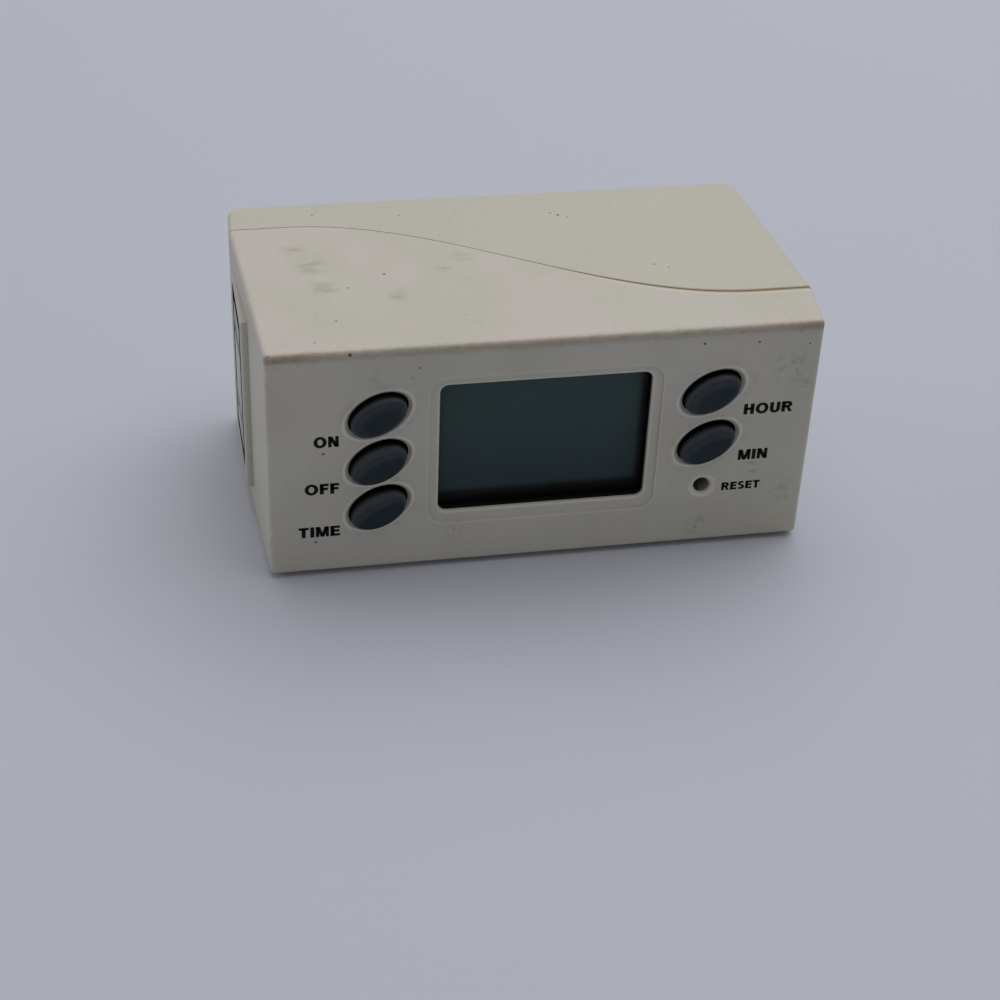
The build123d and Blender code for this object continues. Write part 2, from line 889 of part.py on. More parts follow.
def blade_carrier():
    outline = plain(plug_x, mid_z, carrier_width, carrier_height)
    carrier = along_y(outline, carrier_front, back_inside)
    for x, width in ((neutral_x, neutral_blade_width), (line_x, line_blade_width)):
        pocket = blade_slot(x, width + 2 * shoulder_extra, blade_slot_gap)
        carrier -= along_y(pocket, back_inside - shoulder_depth - blade_slot_gap, back_inside)
        carrier -= along_y(blade_slot(x, tab_width, blade_slot_gap), carrier_front, back_inside)
    spots = [(plug_x - carrier_stake_out, mid_z), (plug_x + carrier_stake_out, mid_z)]
    return carrier - stake_holes(spots, carrier_front, back_inside)


# Power board and what stands on it

def power_board():
    middle_x = (power_left + power_right) / 2
    middle_y = (power_front + power_back) / 2
    outline = plain(middle_x, middle_y, power_right - power_left, power_back - power_front)
    board = along_z(outline, power_under, power_top)
    for x, y in power_posts:
        board -= along_z(dot(x, y, small_shank_radius + hole_gap), power_under, power_top)
    return board


def on_board(outline, height, stand=0.0):
    return along_z(outline, power_top + stand, power_top + stand + height)


relay_x = power_left + relay_side + relay_length / 2
relay_y = power_front + relay_front + relay_width / 2
front_row_y = power_front + relay_front / 2
resistor_x = power_left + relay_side + rectifier_length + part_gap + lead_reach + resistor_length / 2
transistor_x = resistor_x + resistor_length / 2 + lead_reach + transistor_gap + transistor_radius
film_cap_left = max(relay_x + relay_length / 2, transistor_x + transistor_radius) + relay_clear
film_cap_right = power_posts[0][0] - small_head_radius - part_gap
film_cap_y = power_front + power_side_gap + film_cap_width / 2
big_cap_x = film_cap_left + big_cap_radius
small_cap_x = power_right - part_gap - small_cap_radius
can_row_y = film_cap_y + film_cap_width / 2 + part_gap + big_cap_radius


def relay_base():
    return on_board(plain(relay_x, relay_y, relay_length, relay_width), relay_base_height)


def relay_cover():
    outline = plain(relay_x, relay_y, relay_length, relay_width)
    cover = on_board(outline, relay_height - relay_base_height, relay_base_height)
    return fillet(cover.edges().filter_by(Axis.Z) + cover.faces().sort_by(Axis.Z)[-1].edges(), part_gap)


def film_capacitor():
    middle = (film_cap_left + film_cap_right) / 2
    outline = plain(middle, film_cap_y, film_cap_right - film_cap_left, film_cap_width)
    box = on_board(outline, film_cap_height)
    return fillet(box.edges().filter_by(Axis.Z), part_gap)


def can_capacitor(x, radius, height):
    can = on_board(dot(x, can_row_y, radius), height)
    return fillet(can.edges(), part_gap)


def smoothing_capacitors():
    big = can_capacitor(big_cap_x, big_cap_radius, big_cap_height)
    small = can_capacitor(small_cap_x, small_cap_radius, small_cap_height)
    return [big, small]


def rectifier():
    x = power_left + relay_side + rectifier_length / 2
    return on_board(plain(x, front_row_y, rectifier_length, rectifier_width), rectifier_height)


# A small part lying along x on two bent leads
def axial_part(x, y, length, radius):
    axis_z = power_top + radius + lead_radius
    span = length + 2 * lead_reach
    body = Pos(x, y, axis_z) * Rot(0, 90, 0) * Cylinder(radius, length)
    part = body + Pos(x, y, axis_z) * Rot(0, 90, 0) * Cylinder(lead_radius, span)
    for side in (-1, 1):
        part += on_board(dot(x + side * (span / 2 - lead_radius), y, lead_radius), axis_z - power_top)
    return part


def resistor():
    return axial_part(resistor_x, front_row_y, resistor_length, resistor_radius)


def relay_transistor():
    body = dot(transistor_x, front_row_y, transistor_radius)
    body = on_board(body, transistor_height, transistor_stand)
    flat_y = front_row_y + 2 * transistor_radius - part_gap
    flat = plain(transistor_x, flat_y, 4 * transistor_radius, 2 * transistor_radius)
    body -= on_board(flat, transistor_height, transistor_stand)
    legs = [
        on_board(dot(transistor_x + side * transistor_pitch, front_row_y, lead_radius), transistor_stand)
        for side in (-1, 0, 1)
    ]
    return body + legs


def fuse():
    x = power_posts[2][0] + small_head_radius + part_gap + lead_reach + fuse_length / 2
    return axial_part(x, power_back - part_gap / 2 - fuse_radius, fuse_length, fuse_radius)


def varistor():
    y = carrier_front - part_gap - varistor_thickness / 2
    spot = Pos(plug_x, y, power_top + varistor_radius)
    disc = spot * Rot(90, 0, 0) * Cylinder(varistor_radius, varistor_thickness)
    return fillet(disc.edges(), part_gap)


# Flat cable from the back of the control board down to the power board
def link_cable():
    x = power_right - cable_width / 2
    y = power_front + cable_thickness + power_side_gap / 2
    top = power_top + cable_rise
    route = FilletPolyline((x, board_back, top), (x, y, top), (x, y, power_top), radius=cable_bend)
    section = Plane(route @ 0, x_dir=(1, 0, 0), z_dir=route % 0) * Rectangle(cable_width, cable_thickness)
    return sweep(section, path=route)


def wire(points):
    route = FilletPolyline(*points, radius=wire_bend)
    return sweep(Plane(route @ 0, z_dir=route % 0) * Circle(wire_radius), path=route)


def line_wires():
    bend_y = blade_tab_end - wire_drop
    feed = wire([(line_x, blade_tab_end, mid_z), (line_x, bend_y, mid_z), (line_x, bend_y, power_top)])
    start_x = power_left + wire_radius
    start_y = power_back - part_gap - wire_radius
    run_in = tab_end + wire_drop
    switched = wire([
        (start_x, start_y, power_top),
        (start_x, start_y, line_z),
        (run_in, outlet_y, line_z),
        (tab_end, outlet_y, line_z),
    ])
    return [feed, switched]


def neutral_wires():
    bend_y = blade_tab_end - wire_drop
    low = mid_z - wire_radius - fit_gap
    high = mid_z + wire_radius + fit_gap
    feed = wire([(neutral_x, blade_tab_end, low), (neutral_x, bend_y, low), (neutral_x, bend_y, power_top)])
    run_in = tab_end + wire_drop
    through = wire([
        (neutral_x, blade_tab_end, high),
        (neutral_x, bend_y, high),
        (neutral_x, bend_y, neutral_z),
        (left_post_x + boss_radius, bend_y, neutral_z),
        (run_in, outlet_y, neutral_z),
        (tab_end, outlet_y, neutral_z),
    ])
    return [feed, through]


def write(node, shape):
    solids = shape if isinstance(shape, list) else [shape]
    moved = [Pos(0, -case_depth / 2, 0) * solid for solid in solids]
    export_step(moved[0] if len(moved) == 1 else Compound(children=moved), f"parts/{node}.step")


os.makedirs("parts", exist_ok=True)
write("front_shell", front_shell())
write("rear_shell", rear_shell())
write("case_screws", case_screws())
write("lcd_lens", lcd_lens())
write("lcd_bezel", lcd_bezel())
write("lcd_front_polariser", lcd_front_polariser())
write("lcd_front_glass", lcd_front_glass())
write("lcd_rear_glass", lcd_rear_glass())
write("lcd_reflector", lcd_reflector())
write("contact_strips", contact_strips())
write("control_board", control_board())
write("control_board_screws", control_board_screws())
write("chip_blob", chip_blob())
write("clock_crystal", clock_crystal())
write("board_chips", board_chips())
write("backup_cell", backup_cell())
write("cell_tabs", cell_tabs())
for name, (key_x, key_z) in keys.items():
    write(f"button_{name}", key_cap(key_x, key_z))
    write(f"switch_plunger_{name}", key_plunger(key_x, key_z))
write("key_switches", key_switches())
write("reset_switch", reset_switch())
write("reset_plunger", reset_plunger())
write("outlet_ring", outlet_ring())
write("outlet_face", outlet_face())
write("outlet_block", outlet_block())
write("outlet_contact_neutral", outlet_contact(neutral_z, neutral_blade_width))
write("outlet_contact_line", outlet_contact(line_z, line_blade_width))
write("blade_neutral", plug_blade(neutral_x, neutral_blade_width))
write("blade_line", plug_blade(line_x, line_blade_width))
write("blade_carrier", blade_carrier())
write("power_board", power_board())
write("power_board_screws", power_board_screws())
write("relay_base", relay_base())
write("relay_cover", relay_cover())
write("film_capacitor", film_capacitor())
write("smoothing_capacitors", smoothing_capacitors())
write("rectifier", rectifier())
write("resistor", resistor())
write("relay_transistor", relay_transistor())
write("fuse", fuse())
write("varistor", varistor())
write("link_cable", link_cable())
write("line_wires", line_wires())
write("neutral_wires", neutral_wires())
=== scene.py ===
import bmesh
import bpy
import math
from mathutils import Matrix, Vector


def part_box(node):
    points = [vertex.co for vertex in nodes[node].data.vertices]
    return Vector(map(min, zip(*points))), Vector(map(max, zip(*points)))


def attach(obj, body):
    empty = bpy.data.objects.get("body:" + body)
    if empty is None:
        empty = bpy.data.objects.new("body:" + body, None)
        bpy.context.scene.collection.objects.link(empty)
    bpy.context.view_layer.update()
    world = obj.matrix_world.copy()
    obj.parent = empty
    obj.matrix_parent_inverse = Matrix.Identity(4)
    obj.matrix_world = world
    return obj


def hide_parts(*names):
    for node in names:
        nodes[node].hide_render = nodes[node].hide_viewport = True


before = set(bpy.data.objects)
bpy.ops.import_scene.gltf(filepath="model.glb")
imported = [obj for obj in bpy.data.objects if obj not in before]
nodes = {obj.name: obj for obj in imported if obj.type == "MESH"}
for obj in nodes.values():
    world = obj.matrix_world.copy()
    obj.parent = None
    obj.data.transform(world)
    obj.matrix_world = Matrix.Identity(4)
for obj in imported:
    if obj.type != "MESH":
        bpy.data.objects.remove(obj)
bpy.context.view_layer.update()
scene = bpy.context.scene
mm = 0.001
curveSteps = 24  # along the parting line and round a letter's bow

frontBox, rearBox, lensBox = (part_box(name) for name in ("front_shell", "rear_shell", "lcd_lens"))

# The case's own measures in millimetres, with the origin mid-base as in the CAD
case = {
    "halfWidth": 39.9,
    "front": frontBox[0][1] / mm,
    "back": rearBox[1][1] / mm,
    "height": rearBox[1][2] / mm,
    "frontBand": 9.9,  # the front shell's depth at the right end
    "leftBand": 37.0,  # and at the left end
    "leftLean": math.tan(math.radians(3.0)),
    "rightLean": math.tan(math.radians(6.3)),
    "rightRearLean": math.tan(math.radians(4.0)),
    "leftFlat": 6.6,  # how far the parting line runs straight in from each end
    "rightFlat": 7.4,
    "curvePull": 0.363,
}
window = {
    "centre": tuple((lensBox[0][axis] + lensBox[1][axis]) / 2 / mm for axis in (0, 2)),
    "size": (30.7, 21.6),
    "corner": 1.3,
    "frameShift": -0.325,
    "frameSize": (33.8, 24.85),
    "frameCorner": 2.5,
}
keyTilt = math.radians(29.5)
keyHole = {"long": 4.65, "short": 3.0}
keyNames = ("on", "off", "time", "hour", "min")
resetPlace = (24.25, 10.75)


def keyPlace(name):  # the middle of a key, from its CAD box
    low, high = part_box("button_" + name)
    return (low[0] + high[0]) / 2 / mm, (low[2] + high[2]) / 2 / mm


def linear(value):
    value = value / 255
    return value / 12.92 if value <= 0.04045 else ((value + 0.055) / 1.055) ** 2.4


def paint(red, green, blue):  # a colour as one reads it off a screen, 0 to 255
    return (linear(red), linear(green), linear(blue), 1.0)


class Wire:  # one socket in a node tree, so that maths on it reads as plain Python
    def __init__(self, bench, socket):
        self.bench = bench
        self.socket = socket

    def math(self, operation, *others):
        return self.bench.add("ShaderNodeMath", {"operation": operation}, dict(enumerate((self,) + others)))

    def __add__(self, other):
        return self.math("ADD", other)

    def __sub__(self, other):
        return self.math("SUBTRACT", other)

    def __rsub__(self, other):
        return self.bench.add("ShaderNodeMath", {"operation": "SUBTRACT"}, {0: other, 1: self})

    def __mul__(self, other):
        return self.math("MULTIPLY", other)

    def __truediv__(self, other):
        return self.math("DIVIDE", other)

    __radd__ = __add__
    __rmul__ = __mul__


class Bench:  # a node tree being built
    def __init__(self, tree):
        self.tree = tree

    def add(self, kind, settings=None, sockets=None, output=0):
        node = self.tree.nodes.new(kind)
        for name, value in (settings or {}).items():
            if name == "curve":
                fillCurve(node.mapping, value)
            else:
                setattr(node, name, value)
        for name, value in (sockets or {}).items():
            self.feed(node.inputs[name], value)
        return Wire(self, node.outputs[output])

    def feed(self, socket, value):
        if isinstance(value, Wire):
            self.tree.links.new(value.socket, socket)
        else:
            socket.default_value = value

    def fade(self, value, low, high, curve="SMOOTHSTEP"):  # 0 at low, 1 at high
        return self.add("ShaderNodeMapRange", {"interpolation_type": curve},
                        {"Value": value, "From Min": low, "From Max": high})


def fillCurve(mapping, points):
    curve = mapping.curves[0]
    curve.points[0].location = points[0]
    curve.points[1].location = points[-1]
    for point in points[1:-1]:
        curve.points.new(*point)
    for point in curve.points:
        point.handle_type = "VECTOR"
    mapping.update()


class Finish(Bench):  # a material on one Principled shader, with places in millimetres
    def __init__(self, name, fixed):
        self.material = bpy.data.materials.new(name)
        self.material.use_nodes = True
        super().__init__(self.material.node_tree)
        self.shader = self.tree.nodes["Principled BSDF"]
        for socket, value in fixed.items():
            self.shader.inputs[socket].default_value = value
        metres = self.add("ShaderNodeTexCoord", output="Object")
        self.place = self.add("ShaderNodeVectorMath", {"operation": "SCALE"}, {0: metres, "Scale": 1000})
        parts = self.add("ShaderNodeSeparateXYZ", sockets={0: self.place})
        outputs = parts.socket.node.outputs
        self.x, self.y, self.z = (Wire(self, outputs[axis]) for axis in "XYZ")

    def noise(self, scale, detail=2.0, stretch=None, shift=0.0):
        place = self.place
        if stretch or shift:
            place = self.add("ShaderNodeMapping", sockets={
                "Vector": place, "Location": (shift, shift, shift), "Scale": stretch or (1, 1, 1)})
        return self.add("ShaderNodeTexNoise", sockets={"Vector": place, "Scale": scale, "Detail": detail})

    # Noise that sets in between two of its levels
    def patches(self, scale, detail, low, high, shift=0.0, stretch=None):
        return self.fade(self.noise(scale, detail, stretch, shift), low, high)

    def blend(self, factor, first, second):
        return self.add("ShaderNodeMix", {"data_type": "RGBA"}, {0: factor, 6: first, 7: second}, output=2)

    def near(self, centre):  # distance from one point
        return self.add("ShaderNodeVectorMath", {"operation": "DISTANCE"},
                        {0: self.place, 1: centre}, output=1)

    def spot(self, centre, radius):
        return self.fade(self.near(centre), radius, radius * 0.35)

    def bump(self, height, depth):  # depth in millimetres
        normal = self.add("ShaderNodeBump", sockets={"Height": height, "Distance": depth * mm})
        self.set("Normal", normal)

    def set(self, socket, value):
        self.feed(self.shader.inputs[socket], value)


# How far a point of the front lies outside a rounded rectangle, negative inside it
def frameDistance(look, centre, size, corner):
    across = (look.x - centre[0]).math("ABSOLUTE") - (size[0] / 2 - corner)
    upward = (look.z - centre[1]).math("ABSOLUTE") - (size[1] / 2 - corner)
    outX, outZ = across.math("MAXIMUM", 0.0), upward.math("MAXIMUM", 0.0)
    outside = (outX * outX + outZ * outZ).math("SQRT")
    inside = across.math("MAXIMUM", upward).math("MINIMUM", 0.0)
    return outside + inside - corner


# The same for the nearest of the five tilted oval key holes
def holeDistance(look):
    nearest = None
    cosine, sine = math.cos(keyTilt), math.sin(keyTilt)
    for name in keyNames:
        centre = keyPlace(name)
        x, z = look.x - centre[0], look.z - centre[1]
        across = (x * cosine + z * sine) / keyHole["long"]
        upward = (z * cosine - x * sine) / keyHole["short"]
        share = (across * across + upward * upward).math("SQRT")
        distance = (share - 1) * keyHole["short"]
        nearest = distance if nearest is None else nearest.math("MINIMUM", distance)
    return nearest


# Points of the S where the two shells meet, from above
def partingPoints():
    left = (-case["halfWidth"] + case["leftFlat"], case["front"] + case["leftBand"])
    right = (case["halfWidth"] - case["rightFlat"], case["front"] + case["frontBand"])
    pull = case["curvePull"] * (right[0] - left[0])
    hull = [left, (left[0] + pull, left[1]), (right[0] - pull, right[1]), right]
    points = []
    for step in range(curveSteps + 1):
        share = step / curveSteps
        weights = [(1 - share) ** 3, 3 * (1 - share) ** 2 * share, 3 * (1 - share) * share ** 2, share ** 3]
        points.append([sum(w * p[axis] for w, p in zip(weights, hull)) for axis in (0, 1)])
    return points


def partingLine(look):
    reach, depth = 2 * case["halfWidth"], case["back"] - case["front"]
    inner = [((x + case["halfWidth"]) / reach, (y - case["front"]) / depth) for x, y in partingPoints()]
    curve = [(0.0, inner[0][1])] + inner + [(1.0, inner[-1][1])]
    share = (look.x + case["halfWidth"]) / reach
    level = look.add("ShaderNodeFloatCurve", {"curve": curve}, {"Value": share})
    return level * depth + case["front"]


# Distance of a point on the case's skin from the nearest edge of the box
def edgeDistance(look):
    onLeft = look.x.math("LESS_THAN", 0.0)
    band = onLeft * (case["leftBand"] - case["frontBand"]) + case["frontBand"]
    frontLean = onLeft * (case["leftLean"] - case["rightLean"]) + case["rightLean"]
    rearLean = onLeft * (case["leftLean"] - case["rightRearLean"]) + case["rightRearLean"]
    along = look.y - case["front"]
    reach = (along * frontLean).math("MINIMUM", band * frontLean + (band - along) * rearLean)
    side = (reach + case["halfWidth"] - look.x.math("ABSOLUTE")).math("ABSOLUTE")
    face = case["back"] - look.y.math("ABSOLUTE")
    cap = look.z.math("MINIMUM", case["height"] - look.z)
    low = side.math("MINIMUM", face)
    high = side.math("MAXIMUM", face)
    return low.math("MAXIMUM", high.math("MINIMUM", cap))


# Aged cream plastic of both shells: broad yellowing, edges pale from wear and painted highlight, dirt in
# the joint and a few marks, with painted shade on the front face and in the holes and painted highlights
# round the openings.
# A pattern is its noise scale, detail, low and high level, and then any shift and stretch. A reach is
# where a mark begins and where it is full. A single mark is (x, depth from the front, radius) on the
# top and (x, z, radius) on the front.
creamLook = {
    "fresh": paint(203, 199, 189),
    "yellowed": paint(199, 196, 182),
    "rosy": paint(208, 197, 192),
    # Pale colour for rubbed wear and for painted highlights on edges, the joint lip and the rims
    "wearAndHighlight": paint(224, 221, 209),
    "edgeDirt": paint(156, 136, 110),
    "fleck": paint(112, 98, 80),
    "jointDirt": paint(156, 134, 102),
    # Colour of the lit side of the reset hole's wall, painted light
    "resetWallLit": paint(166, 156, 128),
    # Smudge colour, also used for painted shade on the front face and round the key holes
    "smudgeAndShade": paint(132, 131, 122),
    "stain": paint(206, 178, 148),
    # Near black for the painted shade inside the key and reset holes
    "hole": paint(26, 21, 15),
    "speck": paint(48, 40, 32),
    "roughness": (0.42, 0.58),
    "grain": 0.004,
    "patterns": {
        "drift": (0.05, 1.5, 0.38, 0.62),
        "rosy": (0.07, 1.5, 0.38, 0.6, 40),
        "grime": (0.06, 2.0, 0.3, 0.7, 23),
        "mottle": (0.9, 4.0, 0.5, 0.8, 31),
        "ragged": (0.9, 4.0, 0.42, 0.7),
        "edgeDirt": (0.5, 3.0, 0.25, 0.6, 0, (0.3, 1, 1)),
        "flecks": (1.9, 4.0, 0.54, 0.68, 9, (0.5, 1, 1)),
        "jointDirt": (0.35, 3.0, 0.15, 0.5),
        "holeDirt": (0.8, 3.0, 0.45, 0.8),
        "streaky": (0.5, 4.0, 0.36, 0.74, 0, (0.5, 1.3, 1.3)),
        "blotchy": (1.0, 3.0, 0.44, 0.70, 11),
    },
    "reaches": {
        "edge": (0.8, 0.1),
        "edgeDirt": (1.2, 0.3),
        "flecks": (2.0, 0.2),
        "leftEnd": (-31.0, -35.0),
        "rightEnd": (30.0, 39.0),
        "jointWidens": (2.0, 26.0),
        "jointDirt": (-4.0, 14.0),
        "jointLip": (-2.0, 20.0),
        "holeDirt": (2.2, 0.6),
        "resetHole": (1.35, 1.15),
        "keyHole": (0.2, 0.02),
    },
    "highlightRims": {  # painted highlight rings: distance from the edge, reach, sharpness and strength
        "window": (0.12, 0.34, 0.1, 0.5),
        "frame": (0.05, 0.28, 0.06, 0.3),
        "keys": (0.5, 0.26, 0.08, 0.6),
        "reset": (1.65, 0.55, 0.15, 0.8),
    },
    "topSpecks": [(-20.5, 21.0, 0.32), (-26.2, 17.6, 0.22), (-29.0, 8.5, 0.24), (-10.6, 8.2, 0.16),
                  (-28.9, 40.5, 0.24), (19.5, 19.3, 0.24), (21.5, 18.2, 0.2), (8.5, 36.3, 0.34),
                  (7.5, 37.1, 0.24), (9.8, 35.5, 0.2), (-32.6, 3.0, 0.2), (-15.8, 38.8, 0.2)],
    "frontSpecks": [(22.3, 35.5, 0.30), (30.4, 35.2, 0.26), (-18.4, 34.6, 0.2), (-19.5, 33.1, 0.16),
                    (-33.3, 6.1, 0.28), (-28.1, 37.4, 0.36), (14.5, 10.6, 0.18), (-32.0, 21.4, 0.3),
                    (38.0, 34.4, 0.2)],
    "topSmears": [(-30.9, 24.7, 3.4), (-29.6, 17.4, 3.2), (-19.4, 14.4, 2.2), (-11.6, 21.8, 2.0),
                  (-8.5, 25.0, 2.4), (-33.0, 30.0, 2.6)],
    "frontSmears": [(35.6, 30.8, 4.2), (38.2, 27.4, 2.2), (31.6, 13.7, 2.6), (31.2, 13.3, 1.8),
                    (-12.9, 6.4, 2.6), (24.0, 3.8, 3.0), (-23.6, 32.8, 3.0), (37.5, 8.8, 3.0)],
    "topStains": [(-18.2, 30.0, 3.0), (-20.5, 22.6, 2.2)],
    "frontStains": [(37.6, 3.0, 3.6), (18.4, 20.0, 2.2), (-14.6, 20.4, 1.8), (-36.5, 2.6, 2.4)],
}


def creamPattern(look, name):
    return look.patches(*creamLook["patterns"][name])


def creamReach(look, value, name):
    return look.fade(value, *creamLook["reaches"][name])


def agedCream():
    look = Finish("agedCream", {"IOR": 1.5})
    drift, rosy = creamPattern(look, "drift"), creamPattern(look, "rosy")
    line = partingLine(look)
    behind = look.fade(look.y - line, -0.2, 0.2)
    colour = look.blend(drift, creamLook["fresh"], creamLook["yellowed"])
    onTop = look.fade(look.z, case["height"] - 1.2, case["height"] - 0.4)
    colour = look.blend(rosy * (onTop * 0.8 + 0.2) * (1 - behind * 0.6), colour, creamLook["rosy"])
    colour = look.blend(behind * 0.7, colour, creamLook["yellowed"])
    # Painted shade: the front face is darkened a little all over, and a little more in patches of grime
    onFront = look.fade(look.y, case["front"] + 0.6, case["front"] + 0.2)
    grime = creamPattern(look, "grime") * 0.12 + 0.05
    colour = look.blend(onFront * grime, colour, creamLook["smudgeAndShade"])
    colour = look.blend(creamPattern(look, "mottle") * 0.12, colour, creamLook["smudgeAndShade"])
    colour = edgeMarks(look, colour)
    colour = jointMarks(look, colour, line)
    colour = holeMarks(look, colour)
    colour = strayMarks(look, colour)
    look.set("Base Color", colour)
    shiny, dull = creamLook["roughness"]
    look.set("Roughness", look.noise(0.7, 3.0) * (dull - shiny) + shiny)
    look.bump(look.noise(4.5, 2.0) + look.noise(0.25, 1.0) * 4.0, creamLook["grain"])
    return look.material


# Edges made pale here and there, partly rubbed wear and partly painted highlight, and a brown band along
# the top front edge, worst at its ends
def edgeMarks(look, colour):
    wearAndHighlight = creamReach(look, edgeDistance(look), "edge") * creamPattern(look, "ragged")
    colour = look.blend(wearAndHighlight * 0.4, colour, creamLook["wearAndHighlight"])
    toFront = look.y - case["front"]
    toTop = case["height"] - look.z
    topFront = (toFront * toFront + (toTop - 0.5) * (toTop - 0.5)).math("SQRT")
    leftEnd, rightEnd = (creamReach(look, look.x, end) for end in ("leftEnd", "rightEnd"))
    worst = leftEnd.math("MAXIMUM", rightEnd) * 0.35 + 0.45
    dirt = creamReach(look, topFront, "edgeDirt") * (creamPattern(look, "edgeDirt") * 0.5 + 0.5)
    colour = look.blend(dirt * worst, colour, creamLook["edgeDirt"])
    flecks = creamReach(look, topFront, "flecks") * creamPattern(look, "flecks")
    return look.blend(flecks * worst * 0.55, colour, creamLook["fleck"])


# The joint is clean at the left and grows brown towards the right, with a painted highlight along the lip
# in front of it
def jointMarks(look, colour, line):
    ahead = look.y - line
    reach = look.fade(look.x, *creamLook["reaches"]["jointWidens"], "LINEAR") * 0.26 + 0.16
    dirt = look.fade(ahead.math("ABSOLUTE") / reach, 1.5, 0.6) * creamReach(look, look.x, "jointDirt")
    patchy = creamPattern(look, "jointDirt") * 0.25 + 0.75
    outside = look.fade(look.y.math("ABSOLUTE"), case["back"] - 1.0, case["back"] - 1.5)
    # Painted highlight: a pale line along the front shell's lip just ahead of the joint
    lip = look.fade((ahead + 0.75).math("ABSOLUTE"), 0.45, 0.1) * creamReach(look, look.x, "jointLip")
    colour = look.blend(lip * outside * 0.35, colour, creamLook["wearAndHighlight"])
    return look.blend(dirt * patchy * outside * 0.9, colour, creamLook["jointDirt"])


# A painted highlight as a pale ring at a set distance from an edge
def highlightRim(look, name, distance):
    offset, reach, sharp, strength = creamLook["highlightRims"][name]
    return look.fade((distance - offset).math("ABSOLUTE"), reach, sharp) * strength


# Painted highlights as pale rims round the window, its frame and the holes; painted shade inside the holes,
# painted light on the lit side of the reset hole's wall, and grime with painted shade round the key holes
def holeMarks(look, colour):
    deep = look.y - case["front"]
    nearFront = look.fade(deep, 3.0, 2.9)
    inWall = look.fade(deep, 6.0, 5.0)
    frameCentre = (window["centre"][0], window["centre"][1] + window["frameShift"])
    offX, offZ = look.x - resetPlace[0], look.z - resetPlace[1]
    keyRim = holeDistance(look)
    resetRim = (offX * offX + offZ * offZ).math("SQRT")
    windowRim = frameDistance(look, window["centre"], window["size"], window["corner"])
    frameRim = frameDistance(look, frameCentre, window["frameSize"], window["frameCorner"])
    rimHighlight = highlightRim(look, "window", windowRim) + highlightRim(look, "frame", frameRim)
    rimHighlight = rimHighlight + highlightRim(look, "keys", keyRim) + highlightRim(look, "reset", resetRim)
    colour = look.blend(rimHighlight * nearFront, colour, creamLook["wearAndHighlight"])
    # Painted shade deep in the reset hole, and painted light on the lower right of its wall where the light
    # falls
    resetShade = creamReach(look, resetRim, "resetHole") * look.fade(deep, 0.1, 0.8) * inWall
    lit = look.fade(offX - offZ * 0.5, 0.15, 1.05)
    brown = lit * look.fade(resetRim, 1.6, 1.2) * inWall
    colour = look.blend(brown * 0.8, colour, creamLook["resetWallLit"])
    resetShade = resetShade * (1 - lit * 0.9)
    # Painted shade down the walls of the key holes
    keyHoleShade = creamReach(look, keyRim, "keyHole") * look.fade(deep, 0.4, 0.8) * inWall
    # Grime and painted shade in a patchy ring just outside the key holes
    grimeAndShade = creamReach(look, keyRim, "holeDirt") * creamPattern(look, "holeDirt") * nearFront * 0.22
    colour = look.blend(grimeAndShade * look.fade(keyRim, 0.5, 0.7), colour, creamLook["smudgeAndShade"])
    return look.blend(resetShade.math("MAXIMUM", keyHoleShade), colour, creamLook["hole"])


def strayMarks(look, colour):
    patterns = {"top": creamPattern(look, "streaky"), "front": creamPattern(look, "blotchy")}
    for side, centre, radius in spots("Smears"):
        soft = look.fade(look.near(centre), radius, 0.0)
        colour = look.blend(soft * patterns[side] * 0.5, colour, creamLook["smudgeAndShade"])
    for side, centre, radius in spots("Stains"):
        colour = look.blend(look.fade(look.near(centre), radius, 0.2) * 0.2, colour, creamLook["stain"])
    for side, centre, radius in spots("Specks"):
        colour = look.blend(look.spot(centre, radius) * 0.9, colour, creamLook["speck"])
    return colour


def spots(kind):  # every mark of a kind, with its place on the top or the front
    for x, depth, radius in creamLook["top" + kind]:
        yield "top", (x, case["front"] + depth, case["height"]), radius
    for x, z, radius in creamLook["front" + kind]:
        yield "front", (x, case["front"], z), radius


